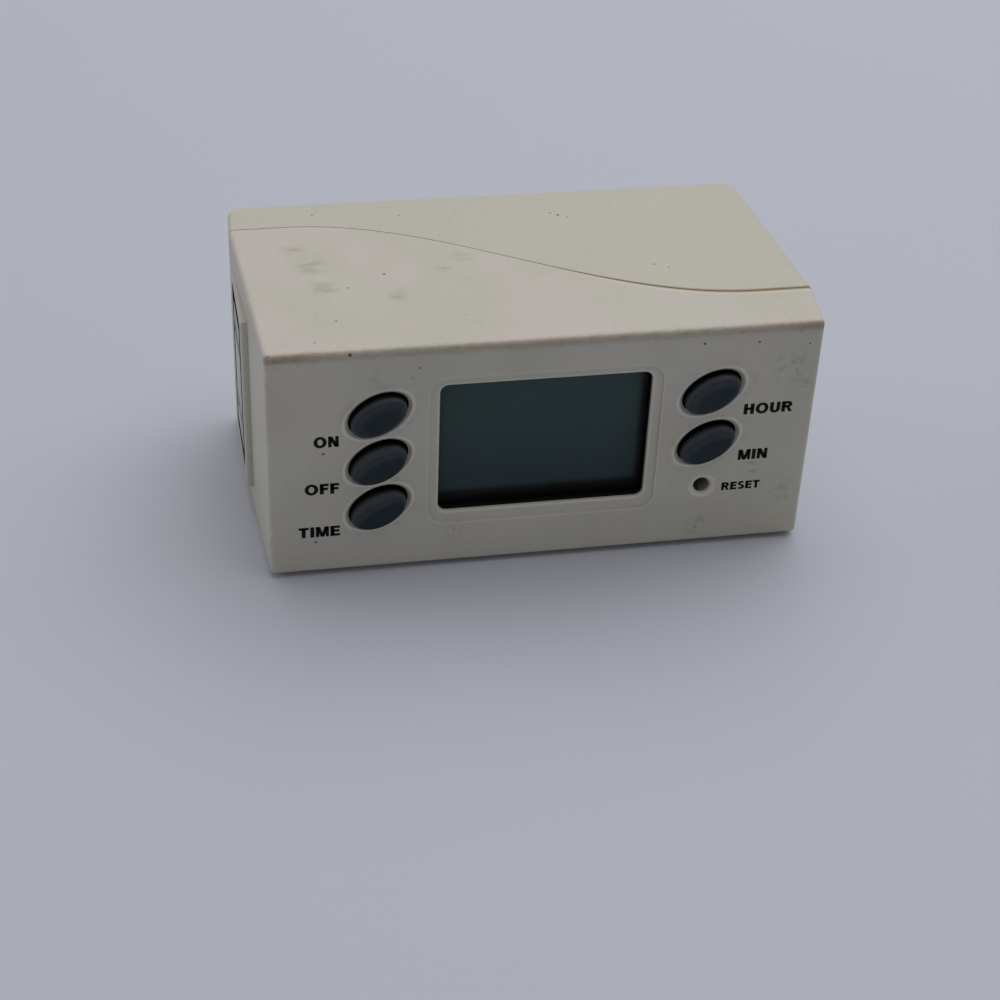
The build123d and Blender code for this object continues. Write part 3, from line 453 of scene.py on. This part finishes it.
# Plain moulded or plated finishes: two close shades, roughness, metal share, pattern size, grain, stretch
plainLooks = {
    "zincSteel": (paint(150, 152, 156), paint(120, 121, 124), 0.32, 1.0, 2.2, 0.002, (1, 1, 1)),
    "bezelBlack": (paint(18, 18, 19), paint(26, 26, 27), 0.42, 0.0, 1.1, 0.002, (1, 1, 1)),
    "contactRubber": (paint(70, 62, 66), paint(92, 84, 88), 0.80, 0.0, 8.0, 0.004, (6, 0.2, 0.2)),
    "chipResin": (paint(14, 14, 15), paint(24, 24, 26), 0.16, 0.0, 0.6, 0.006, (1, 1, 1)),
    "crystalSteel": (paint(190, 190, 194), paint(165, 165, 170), 0.22, 1.0, 1.5, 0.001, (0.2, 1, 1)),
    "chipCeramic": (paint(150, 124, 98), paint(128, 104, 80), 0.6, 0.0, 3.0, 0.002, (1, 1, 1)),
    "cellSteel": (paint(176, 178, 182), paint(150, 152, 156), 0.26, 1.0, 1.8, 0.001, (1, 1, 1)),
    "nickelStrip": (paint(172, 168, 160), paint(148, 144, 136), 0.34, 1.0, 2.5, 0.001, (0.3, 1, 1)),
    "plungerBlack": (paint(30, 30, 31), paint(42, 42, 44), 0.5, 0.0, 2.0, 0.002, (1, 1, 1)),
    "switchBlack": (paint(26, 26, 28), paint(38, 38, 40), 0.38, 0.0, 1.6, 0.002, (1, 1, 1)),
    "resetBrown": (paint(74, 62, 52), paint(56, 46, 38), 0.5, 0.0, 2.4, 0.002, (1, 1, 1)),
    "blockIvory": (paint(206, 202, 188), paint(196, 190, 172), 0.5, 0.0, 0.6, 0.003, (1, 1, 1)),
    "contactBrass": (paint(196, 160, 92), paint(168, 128, 66), 0.30, 1.0, 1.4, 0.001, (1, 0.3, 1)),
    "bladeNickel": (paint(186, 178, 160), paint(150, 140, 118), 0.26, 1.0, 3.0, 0.002, (1, 0.06, 1)),
    "carrierBlack": (paint(32, 32, 33), paint(44, 44, 45), 0.5, 0.0, 1.0, 0.002, (1, 1, 1)),
    "relayBlack": (paint(24, 24, 26), paint(34, 34, 36), 0.45, 0.0, 1.0, 0.002, (1, 1, 1)),
    "relayBlue": (paint(44, 86, 150), paint(36, 74, 134), 0.30, 0.0, 0.7, 0.002, (1, 1, 1)),
    "filmYellow": (paint(214, 168, 46), paint(200, 152, 38), 0.32, 0.0, 0.7, 0.002, (1, 1, 1)),
    "canSleeve": (paint(34, 44, 84), paint(28, 36, 70), 0.28, 0.0, 0.8, 0.002, (1, 1, 0.3)),
    "rectifierBlack": (paint(26, 26, 27), paint(36, 36, 38), 0.46, 0.0, 2.0, 0.002, (1, 1, 1)),
    "resistorTan": (paint(196, 168, 124), paint(182, 152, 108), 0.42, 0.0, 1.2, 0.002, (1, 1, 1)),
    "transistorBlack": (paint(28, 28, 29), paint(38, 38, 40), 0.48, 0.0, 2.0, 0.002, (1, 1, 1)),
    "fuseWhite": (paint(214, 210, 198), paint(200, 196, 184), 0.26, 0.0, 1.0, 0.001, (1, 1, 1)),
    "varistorBlue": (paint(44, 104, 150), paint(36, 90, 134), 0.28, 0.0, 1.0, 0.004, (1, 1, 1)),
    "cableGrey": (paint(176, 176, 178), paint(160, 160, 163), 0.5, 0.0, 0.8, 0.008, (8, 0.1, 0.1)),
    "wireBlack": (paint(24, 24, 25), paint(36, 36, 38), 0.44, 0.0, 1.2, 0.002, (1, 1, 1)),
    "wireWhite": (paint(214, 214, 210), paint(200, 200, 194), 0.44, 0.0, 1.2, 0.002, (1, 1, 1)),
}


def plainFinish(name):
    light, dark, roughness, metal, scale, grain, stretch = plainLooks[name]
    look = Finish(name, {"Metallic": metal})
    pattern = look.noise(scale, 3.0, stretch=stretch)
    look.set("Base Color", look.blend(look.fade(pattern, 0.35, 0.65), light, dark))
    look.set("Roughness", look.noise(scale * 0.4, 3.0, shift=5) * 0.2 + (roughness - 0.1))
    look.bump(look.noise(scale * 3, 2.0, stretch=stretch), grain)
    return look.material


# Keys in millimetres: an oval cap with a wide rounded shoulder and a slightly domed face, a bar, a stem
keyShape = {
    "longRadius": 4.36,
    "shortRadius": 2.7,
    "shoulder": 0.9,
    "dome": 0.10,
    "stand": 1.25,
    "root": 2.15,
    "barLength": 10.9,
    "barWidth": 3.0,
    "barThickness": 0.8,
    "stemRadius": 1.8,
    "tilt": keyTilt,
}

# Dark slate keys: satin face, a painted highlight on the shoulder, a thin painted highlight round the
# face's edge, painted shade where the cap's side enters the hole, and a little lint. The shoulder's light
# band and the thin edge line are placed by their distance behind the face.
keyLook = {
    "slate": paint(19, 34, 43),
    "worn": paint(26, 41, 50),
    # Painted highlight colour of the shoulder
    "shoulder": paint(78, 78, 84),
    # Painted highlight colour of the face's edge
    "rim": paint(92, 104, 110),
    # Painted shade colour where the cap enters the hole
    "root": paint(4, 4, 5),
    "dust": paint(110, 112, 112),
    "wornPatches": (0.5, 3.0, 0.4, 0.7),
    "lint": (3.2, 1.0, 0.74, 0.80, 3),
    "shoulderHighlightFront": (0.06, 0.4),
    "shoulderHighlightBack": (1.0, 0.5),
    "rimPlace": 0.13,
    "rimReach": (0.1, 0.02),
    "holeShadeReach": (-0.45, 0.0),
    "roughness": 0.5,
    "grain": 0.003,
}


def slateKey():
    look = Finish("slateKey", {"IOR": 1.48, "Specular IOR Level": 0.3})
    worn = look.patches(*keyLook["wornPatches"])
    colour = look.blend(worn * 0.6, keyLook["slate"], keyLook["worn"])
    face = case["front"] - keyShape["stand"]
    depth = look.y + look.noise(0.8, 3.0) * 0.2 - 0.1
    # Painted highlight: a lighter band on the cap's rounded shoulder
    shoulderHighlightFront = look.fade(depth, *(face + reach for reach in keyLook["shoulderHighlightFront"]))
    shoulderHighlightBack = look.fade(depth, *(face + reach for reach in keyLook["shoulderHighlightBack"]))
    colour = look.blend(shoulderHighlightFront * shoulderHighlightBack * 0.7, colour, keyLook["shoulder"])
    # Painted highlight: a thin light line round the edge of the face
    rim = look.fade((look.y - face - keyLook["rimPlace"]).math("ABSOLUTE"), *keyLook["rimReach"])
    colour = look.blend(rim * 0.14, colour, keyLook["rim"])
    # Painted shade: the cap's side wall turns near black where it enters the hole
    root = look.fade(look.y, *(case["front"] + reach for reach in keyLook["holeShadeReach"]))
    colour = look.blend(root, colour, keyLook["root"])
    lint = look.patches(*keyLook["lint"])
    look.set("Base Color", look.blend(lint * 0.3, colour, keyLook["dust"]))
    look.set("Roughness", look.noise(1.2, 3.0) * 0.16 + (keyLook["roughness"] - 0.08))
    look.bump(look.noise(6.0, 2.0), keyLook["grain"])
    return look.material


# Display: a clear window with a little dust, over a dark grey-green film and a dull grey reflector
displayLook = {
    "film": paint(57, 80, 80),
    # Film colour in the painted shade towards the bottom
    "filmShadedLow": paint(45, 67, 73),
    # Near black for the painted shade at the film's lower and right margins
    "edge": paint(3, 3, 4),
    "back": paint(50, 58, 54),
    "windowTint": (0.02, 0.022, 0.022, 1.0),
    "windowShow": 0.06,
    "filmShow": 0.94,
    "dust": paint(120, 124, 122),
    "dustCentre": (-11.0, -20.9, 13.3),
    "dustReach": (9.0, 2.0),
    "grit": (2.6, 1.0, 0.72, 0.76),
    "lowShadeLevels": (26.0, 12.0),
    "bottomMargin": (2.5, 1.3),
    "rightMargin": (1.5, 0.3),
}


def clearWindow():
    look = Finish("clearWindow", {"Roughness": 0.08, "IOR": 1.49})
    nearDust = look.fade(look.near(displayLook["dustCentre"]), *displayLook["dustReach"])
    dust = look.patches(*displayLook["grit"]) * nearDust
    look.set("Base Color", look.blend(dust, displayLook["windowTint"], displayLook["dust"]))
    look.set("Alpha", dust * 0.5 + displayLook["windowShow"])
    return look.material


# Painted shade: the film's lower and right margins are painted near black where the black surround would
# shade them
def displayFilm():
    look = Finish("displayFilm", {"IOR": 1.4, "Alpha": displayLook["filmShow"]})
    # Painted shade: the film darkens towards the bottom
    low = look.fade(look.z, *displayLook["lowShadeLevels"])
    colour = look.blend(low, displayLook["film"], displayLook["filmShadedLow"])
    halfWide, halfHigh = window["size"][0] / 2, window["size"][1] / 2
    bottom, right = window["centre"][1] - halfHigh, window["centre"][0] + halfWide
    bottomShade = look.fade(look.z, *(bottom + margin for margin in displayLook["bottomMargin"]))
    rightShade = look.fade(look.x, *(right - margin for margin in displayLook["rightMargin"]))
    colour = look.blend(bottomShade.math("MAXIMUM", rightShade), colour, displayLook["edge"])
    look.set("Base Color", colour)
    look.set("Roughness", look.noise(0.2, 2.0) * 0.1 + 0.35)
    return look.material


def displayGlass():
    look = Finish("displayGlass", {"Base Color": displayLook["windowTint"], "IOR": 1.5, "Alpha": 0.12})
    look.set("Roughness", look.noise(0.3, 2.0) * 0.05 + 0.03)
    return look.material


def displayBack():
    look = Finish("displayBack", {"Metallic": 0.3})
    sheen = look.noise(6.0, 1.0)
    look.set("Base Color", look.blend(sheen * 0.3, displayLook["back"], displayLook["film"]))
    look.set("Roughness", look.noise(1.0, 2.0) * 0.1 + 0.4)
    return look.material


# Outlet: a scuffed black ring round a white face
outletLook = {
    "white": paint(206, 207, 208),
    "grey": paint(184, 185, 187),
    "scuff": paint(120, 118, 114),
    "black": paint(12, 12, 13),
    "greyPatches": (0.12, 3.0, 0.35, 0.65),
    "ringScuffs": (1.1, 4.0, 0.60, 0.72, 2, (1, 2.5, 0.25)),
    "faceScuffs": (0.8, 4.0, 0.62, 0.72, 7, (1, 3, 0.4)),
}


def ringBlack():
    look = Finish("ringBlack", {"IOR": 1.2, "Specular IOR Level": 0.1})
    scuff = look.patches(*outletLook["ringScuffs"])
    look.set("Base Color", look.blend(scuff * 0.5, outletLook["black"], outletLook["scuff"]))
    look.set("Roughness", look.noise(1.0, 3.0) * 0.2 + 0.7)
    look.bump(look.noise(3.0, 2.0), 0.003)
    return look.material


def insertWhite():
    look = Finish("insertWhite", {"IOR": 1.5})
    colour = look.blend(look.patches(*outletLook["greyPatches"]), outletLook["white"], outletLook["grey"])
    scuff = look.patches(*outletLook["faceScuffs"])
    look.set("Base Color", look.blend(scuff * 0.6, colour, outletLook["scuff"]))
    look.set("Roughness", look.noise(1.0, 3.0) * 0.2 + 0.34)
    look.bump(look.noise(3.0, 2.0), 0.003)
    return look.material


# Circuit boards with their tracks and pads
boardLook = {
    "mask": paint(30, 92, 52),
    "track": paint(44, 118, 66),
    "pad": paint(190, 190, 186),
    "pitch": 0.39,
    "trackPlace": 0.32,
    "trackReach": (0.09, 0.06),
    "padReach": (0.12, 0.09),
    "trackHeight": 0.03,
}


def circuitBoard():
    look = Finish("circuitBoard", {"IOR": 1.5, "Roughness": 0.34})
    cells = look.add("ShaderNodeTexVoronoi", {"distance": "CHEBYCHEV"},
                     {"Vector": look.place, "Scale": boardLook["pitch"]})
    track = look.fade((cells - boardLook["trackPlace"]).math("ABSOLUTE"), *boardLook["trackReach"])
    pad = look.fade(cells, *boardLook["padReach"])
    colour = look.blend(track, boardLook["mask"], boardLook["track"])
    look.set("Base Color", look.blend(pad, colour, boardLook["pad"]))
    look.bump(track, boardLook["trackHeight"])
    return look.material


looks = {name: plainFinish(name) for name in plainLooks}
for makeFinish in (agedCream, slateKey, clearWindow, displayFilm, displayGlass, displayBack,
                   insertWhite, ringBlack, circuitBoard):
    looks[makeFinish.__name__] = makeFinish()
print("materials made:", len(looks))

nodeLooks = {
    "agedCream": ["front_shell", "rear_shell"],
    "zincSteel": ["case_screws", "control_board_screws", "power_board_screws"],
    "clearWindow": ["lcd_lens"],
    "bezelBlack": ["lcd_bezel"],
    "displayFilm": ["lcd_front_polariser"],
    "displayGlass": ["lcd_front_glass", "lcd_rear_glass"],
    "displayBack": ["lcd_reflector"],
    "contactRubber": ["contact_strips"],
    "circuitBoard": ["control_board", "power_board"],
    "chipResin": ["chip_blob"],
    "crystalSteel": ["clock_crystal"],
    "chipCeramic": ["board_chips"],
    "cellSteel": ["backup_cell"],
    "nickelStrip": ["cell_tabs"],
    "slateKey": ["button_on", "button_off", "button_time", "button_hour", "button_min"],
    "plungerBlack": ["switch_plunger_on", "switch_plunger_off", "switch_plunger_time",
                     "switch_plunger_hour", "switch_plunger_min"],
    "switchBlack": ["key_switches", "reset_switch"],
    "resetBrown": ["reset_plunger"],
    "ringBlack": ["outlet_ring"],
    "insertWhite": ["outlet_face"],
    "blockIvory": ["outlet_block"],
    "contactBrass": ["outlet_contact_neutral", "outlet_contact_line"],
    "bladeNickel": ["blade_neutral", "blade_line"],
    "carrierBlack": ["blade_carrier"],
    "relayBlack": ["relay_base"],
    "relayBlue": ["relay_cover"],
    "filmYellow": ["film_capacitor"],
    "canSleeve": ["smoothing_capacitors"],
    "rectifierBlack": ["rectifier"],
    "resistorTan": ["resistor"],
    "transistorBlack": ["relay_transistor"],
    "fuseWhite": ["fuse"],
    "varistorBlue": ["varistor"],
    "cableGrey": ["link_cable"],
    "wireBlack": ["line_wires"],
    "wireWhite": ["neutral_wires"],
}
for lookName, members in nodeLooks.items():
    for member in members:
        slots = nodes[member].data.materials
        slots.clear()
        slots.append(looks[lookName])
print("CAD nodes dressed:", sum(len(members) for members in nodeLooks.values()))

# Bold plain capitals on a cap height of 1, each made of strips: a left and a right run of points
letterStem = 0.3
letterBeam = 0.235


def bar(left, low, right, high):
    return [(left, high), (left, low)], [(right, high), (right, low)]


def slant(top, bottom, topWidth, bottomWidth, high=1.0):
    return [(top, high), (bottom, 0.0)], [(top + topWidth, high), (bottom + bottomWidth, 0.0)]


def bow(middle, radii, start, end):  # a stretch of an oval ring, in degrees from the right
    outer, inner = [], []
    for step in range(curveSteps + 1):
        angle = math.radians(start + (end - start) * step / curveSteps)
        cosine, sine = math.cos(angle), math.sin(angle)
        outer.append((middle[0] + radii[0] * cosine, middle[1] + radii[1] * sine))
        inner.append((middle[0] + (radii[0] - letterStem) * cosine,
                      middle[1] + (radii[1] - letterBeam) * sine))
    return outer, inner


letters = {
    "E": (0.72, [bar(0, 0, letterStem, 1), bar(0, 0, 0.72, letterBeam),
                 bar(0, 0.4, 0.67, 0.4 + letterBeam), bar(0, 1 - letterBeam, 0.71, 1)]),
    "F": (0.67, [bar(0, 0, letterStem, 1), bar(0, 0.39, 0.61, 0.39 + letterBeam),
                 bar(0, 1 - letterBeam, 0.67, 1)]),
    "H": (0.82, [bar(0, 0, letterStem, 1), bar(0, 0.4, 0.82, 0.4 + letterBeam),
                 bar(0.82 - letterStem, 0, 0.82, 1)]),
    "I": (letterStem, [bar(0, 0, letterStem, 1)]),
    "M": (0.98, [bar(0, 0, 0.25, 1), slant(0, 0.37, 0.32, 0.24), slant(0.66, 0.37, 0.32, 0.24),
                 bar(0.73, 0, 0.98, 1)]),
    "N": (0.82, [bar(0, 0, 0.27, 1), slant(0, 0.51, 0.31, 0.31), bar(0.55, 0, 0.82, 1)]),
    "O": (1.02, [bow((0.51, 0.5), (0.51, 0.53), 0, 360)]),
    "R": (0.88, [bar(0, 0, letterStem, 1), bar(0, 1 - letterBeam, 0.48, 1),
                 bar(0, 0.4, 0.48, 0.4 + letterBeam), bow((0.48, 0.7), (0.35, 0.3), -90, 90),
                 slant(0.34, 0.6, 0.28, 0.28, 0.45)]),
    "S": (0.76, [bow((0.38, 0.73), (0.36, 0.29), 20, 270), bow((0.38, 0.28), (0.38, 0.3), 90, -160)]),
    "T": (0.76, [bar(0, 1 - letterBeam, 0.76, 1), bar(0.22, 0, 0.22 + letterStem, 1)]),
    "U": (0.82, [bar(0, 0.38, letterStem, 1), bow((0.41, 0.38), (0.41, 0.4), 180, 360),
                 bar(0.82 - letterStem, 0.38, 0.82, 1)]),
}

# Legends printed by the keys: word, the end that is given, its x, baseline, width and cap height
legendLook = {
    "ink": paint(4, 4, 5),
    "worn": paint(22, 21, 20),
    "wornPatches": (2.5, 3.0, 0.5, 0.75),
    "thickness": 0.015,
    "letterGap": 0.11,
    "words": [
        ("ON", "right", -29.8, 22.5, 3.56, 1.8),
        ("OFF", "right", -29.8, 14.5, 4.95, 1.8),
        ("TIME", "right", -29.75, 7.0, 6.0, 1.8),
        ("HOUR", "left", 29.3, 23.0, 7.4, 1.8),
        ("MIN", "left", 29.3, 15.0, 4.45, 1.8),
        ("RESET", "left", 27.3, 9.7, 5.9, 1.4),
    ],
}


def legendInk():
    look = Finish("legendInk", {"IOR": 1.45, "Specular IOR Level": 0.2})
    worn = look.patches(*legendLook["wornPatches"])
    look.set("Base Color", look.blend(worn, legendLook["ink"], legendLook["worn"]))
    look.set("Roughness", look.noise(2.0, 2.0) * 0.2 + 0.4)
    return look.material


# A strip as a thin closed slab standing just proud of the front face
def slab(solid, strip, place):
    low, high = case["front"] + legendLook["thickness"], case["front"] - legendLook["thickness"]
    rows = []
    for left, right in zip(*strip):
        corners = [place(*left), place(*right)]
        rows.append([solid.verts.new(Vector((x, y, z)) * mm) for y in (high, low) for x, z in corners])
    for before, after in zip(rows, rows[1:]):
        for first, second in ((0, 1), (1, 3), (3, 2), (2, 0)):
            solid.faces.new([before[first], before[second], after[second], after[first]])
    solid.faces.new([rows[0][index] for index in (0, 2, 3, 1)])
    solid.faces.new([rows[-1][index] for index in (0, 1, 3, 2)])


def printLegend(word, side, x, baseline, width, height, ink):
    gap = legendLook["letterGap"]
    plainWidth = sum(letters[letter][0] for letter in word) + gap * (len(word) - 1)
    stretch = width / plainWidth
    solid = bmesh.new()
    pen = x if side == "left" else x - width
    for letter in word:
        span, strips = letters[letter]
        for strip in strips:
            slab(solid, strip, lambda u, v: (pen + u * stretch, baseline + v * height))
        pen += (span + gap) * stretch
    piece = closedPiece(solid, "legend" + word.capitalize(), ink)
    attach(piece, "case")


def closedPiece(solid, name, material, smooth=None):
    bmesh.ops.recalc_face_normals(solid, faces=solid.faces)
    mesh = bpy.data.meshes.new(name)
    solid.to_mesh(mesh)
    solid.free()
    mesh.materials.append(material)
    if smooth:
        mesh.polygons.foreach_set("use_smooth", [True] * len(mesh.polygons))
        mesh.set_sharp_from_angle(angle=math.radians(smooth))
    piece = bpy.data.objects.new(name, mesh)
    scene.collection.objects.link(piece)
    return piece


inkFinish = legendInk()
for entry in legendLook["words"]:
    printLegend(*entry, inkFinish)
print("legends printed:", len(legendLook["words"]))

# How far each loose key hangs down in its hole, and how much its face leans back at the top
keyHang = {
    "on": (0.09, 0.03),
    "off": (0.21, 0.13),
    "time": (0.22, 0.14),
    "hour": (0.14, 0.05),
    "min": (0.18, 0.09),
}
keyMesh = {
    "around": 97,
    "rows": 41,
    "stemSides": 48,
    "weld": 1e-4,
    "zones": ((0, 0.1), (0.1, 0.3), (0.3, 0.7), (0.7, 1.0)),  # floor, wall, shoulder and face of the cap
    "smooth": 40,
}


# One tree grows every key from its own measures
def keyTree(material):
    tree = bpy.data.node_groups.new("ovalKey", "GeometryNodeTree")
    tree.interface.new_socket("Geometry", in_out="OUTPUT", socket_type="NodeSocketGeometry")
    names = list(keyShape) + ["stemLength", "centreX", "centreZ", "hang", "leanBack"]
    for name in names:
        tree.interface.new_socket(name, in_out="INPUT", socket_type="NodeSocketFloat")
    bench = Bench(tree)
    given = tree.nodes.new("NodeGroupInput")
    size = {name: Wire(bench, given.outputs[name]) for name in names}
    place = bench.add("ShaderNodeSeparateXYZ", sockets={0: bench.add("GeometryNodeInputPosition")})
    u, v = (Wire(bench, place.socket.node.outputs[axis]) + 0.5 for axis in "XY")
    floor, wall, shoulder, inward = (bench.fade(v, *zone, "LINEAR") for zone in keyMesh["zones"])
    bend = shoulder * (math.pi / 2)
    turn = u * (2 * math.pi)
    inset = size["shoulder"] * (1 - bend.math("COSINE"))
    shrink = floor * (1 - inward)
    across = (size["longRadius"] - inset) * shrink * turn.math("COSINE")
    upward = (size["shortRadius"] - inset) * shrink * turn.math("SINE")
    straight = size["root"] + size["stand"] - size["dome"] - size["shoulder"]
    crown = size["dome"] * (1 - (1 - inward).math("POWER", 2.0))
    out = wall * (straight - upward * size["leanBack"]) + size["shoulder"] * bend.math("SINE") + crown
    spot = bench.add("ShaderNodeCombineXYZ", sockets={
        "X": across, "Y": size["root"] - out, "Z": upward})
    grid = bench.add("GeometryNodeMeshGrid", sockets={
        "Vertices X": keyMesh["around"], "Vertices Y": keyMesh["rows"]})
    cap = bench.add("GeometryNodeSetPosition", sockets={"Geometry": grid, "Position": spot})
    cap = bench.add("GeometryNodeMergeByDistance", sockets={"Geometry": cap, "Distance": keyMesh["weld"]})
    barSize = bench.add("ShaderNodeCombineXYZ", sockets={
        "X": size["barLength"], "Y": size["barThickness"], "Z": size["barWidth"]})
    barPlace = bench.add("ShaderNodeCombineXYZ", sockets={"Y": size["root"] + size["barThickness"] / 2})
    keyBar = bench.add("GeometryNodeTransform", sockets={
        "Geometry": bench.add("GeometryNodeMeshCube", sockets={"Size": barSize}), "Translation": barPlace})
    stem = bench.add("GeometryNodeMeshCylinder", sockets={
        "Vertices": keyMesh["stemSides"], "Radius": size["stemRadius"], "Depth": size["stemLength"]})
    stemStart = size["root"] + size["barThickness"] + size["stemLength"] / 2
    stem = bench.add("GeometryNodeTransform", sockets={
        "Geometry": stem, "Rotation": (math.pi / 2, 0, 0),
        "Translation": bench.add("ShaderNodeCombineXYZ", sockets={"Y": stemStart})})
    join = tree.nodes.new("GeometryNodeJoinGeometry")
    for part in (cap, keyBar, stem):
        tree.links.new(part.socket, join.inputs[0])
    lean = bench.add("ShaderNodeCombineXYZ", sockets={"Y": size["tilt"] * -1.0})
    centre = bench.add("ShaderNodeCombineXYZ", sockets={
        "X": size["centreX"], "Y": case["front"], "Z": size["centreZ"] - size["hang"]})
    whole = bench.add("GeometryNodeTransform", sockets={
        "Geometry": Wire(bench, join.outputs[0]), "Translation": centre, "Rotation": lean})
    whole = bench.add("GeometryNodeTransform", sockets={"Geometry": whole, "Scale": (mm, mm, mm)})
    whole = bench.add("GeometryNodeRealizeInstances", sockets={"Geometry": whole})
    whole = bench.add("GeometryNodeSetMaterial", sockets={"Geometry": whole, "Material": material})
    tree.links.new(whole.socket, tree.nodes.new("NodeGroupOutput").inputs[0])
    return tree


def growKey(name, tree, material):
    centre = keyPlace(name)
    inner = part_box("button_" + name)[1][1] / mm
    stemLength = inner - case["front"] - keyShape["root"] - keyShape["barThickness"]
    hang, leanBack = keyHang[name]
    values = dict(keyShape, stemLength=stemLength, centreX=centre[0], centreZ=centre[1],
                  hang=hang, leanBack=leanBack)
    holder = bpy.data.objects.new("source", bpy.data.meshes.new("source"))
    scene.collection.objects.link(holder)
    modifier = holder.modifiers.new("ovalKey", "NODES")
    modifier.node_group = tree
    for socket in tree.interface.items_tree:
        if socket.in_out == "INPUT":
            modifier[socket.identifier] = float(values[socket.name])
    evaluated = holder.evaluated_get(bpy.context.evaluated_depsgraph_get())
    solid = bmesh.new()
    solid.from_mesh(bpy.data.meshes.new_from_object(evaluated))
    bpy.data.objects.remove(holder)
    piece = closedPiece(solid, "key" + name.capitalize(), material, smooth=keyMesh["smooth"])
    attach(piece, "key_" + name)
    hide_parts("button_" + name)


keyGrower = keyTree(looks["slateKey"])
for keyName in keyNames:
    growKey(keyName, keyGrower, looks["slateKey"])
print("keys grown:", len(keyNames))

# Floor, light and camera
stageLook = {
    "floor": paint(199, 202, 215),
    "floorCloud": paint(190, 192, 204),
    "cloudPatches": (0.02, 3.0, 0.3, 0.7),
    "floorReach": 3.0,  # metres
    "world": (0.97, 0.98, 0.96, 1.0),
    "worldLevel": 0.25,
    "lamps": {  # place in metres, size and power
        "softbox": ((0.28, 0.30, 0.95), 1.3, 7.6),
        "fill": ((-1.0, 0.45, 0.45), 0.8, 1.5),
    },
    "cameraPlace": (-56.7, -258.5, 182.4),
    "cameraRight": (0.9824, -0.1830, 0.0367),
    "cameraUp": (0.0766, 0.5745, 0.8149),
    "cameraForward": (0.1702, 0.7978, -0.5784),
    "lens": 73.07,
}


def layFloor():
    mesh = bpy.data.meshes.new("floor")
    reach = stageLook["floorReach"]
    corners = [(-reach, -reach, 0), (reach, -reach, 0), (reach, reach, 0), (-reach, reach, 0)]
    mesh.from_pydata(corners, [], [(0, 1, 2, 3)])
    floor = bpy.data.objects.new("floor", mesh)
    scene.collection.objects.link(floor)
    look = Finish("palePaper", {"Roughness": 0.7})
    cloud = look.patches(*stageLook["cloudPatches"])
    look.set("Base Color", look.blend(cloud * 0.04, stageLook["floor"], stageLook["floorCloud"]))
    mesh.materials.append(look.material)


def hangLight():
    world = bpy.data.worlds.new("room")
    world.use_nodes = True
    sky = world.node_tree.nodes["Background"]
    sky.inputs["Color"].default_value = stageLook["world"]
    sky.inputs["Strength"].default_value = stageLook["worldLevel"]
    scene.world = world
    for name, (place, size, watts) in stageLook["lamps"].items():
        lamp = bpy.data.lights.new(name, "AREA")
        lamp.size = size
        lamp.energy = watts
        holder = bpy.data.objects.new(name, lamp)
        scene.collection.objects.link(holder)
        aim = (-Vector(place)).to_track_quat("-Z", "Y").to_matrix().to_4x4()
        holder.matrix_world = Matrix.Translation(place) @ aim


def setCamera():
    data = bpy.data.cameras.new("view")
    data.lens = stageLook["lens"]
    data.sensor_width = 36.0
    data.clip_start = 0.01
    camera = bpy.data.objects.new("view", data)
    scene.collection.objects.link(camera)
    backward = [-part for part in stageLook["cameraForward"]]
    turn = Matrix([stageLook["cameraRight"], stageLook["cameraUp"], backward]).transposed().to_4x4()
    camera.matrix_world = Matrix.Translation(Vector(stageLook["cameraPlace"]) * mm) @ turn
    scene.camera = camera


layFloor()
hangLight()
setCamera()
scene.view_settings.view_transform = "Standard"
print("stage set")
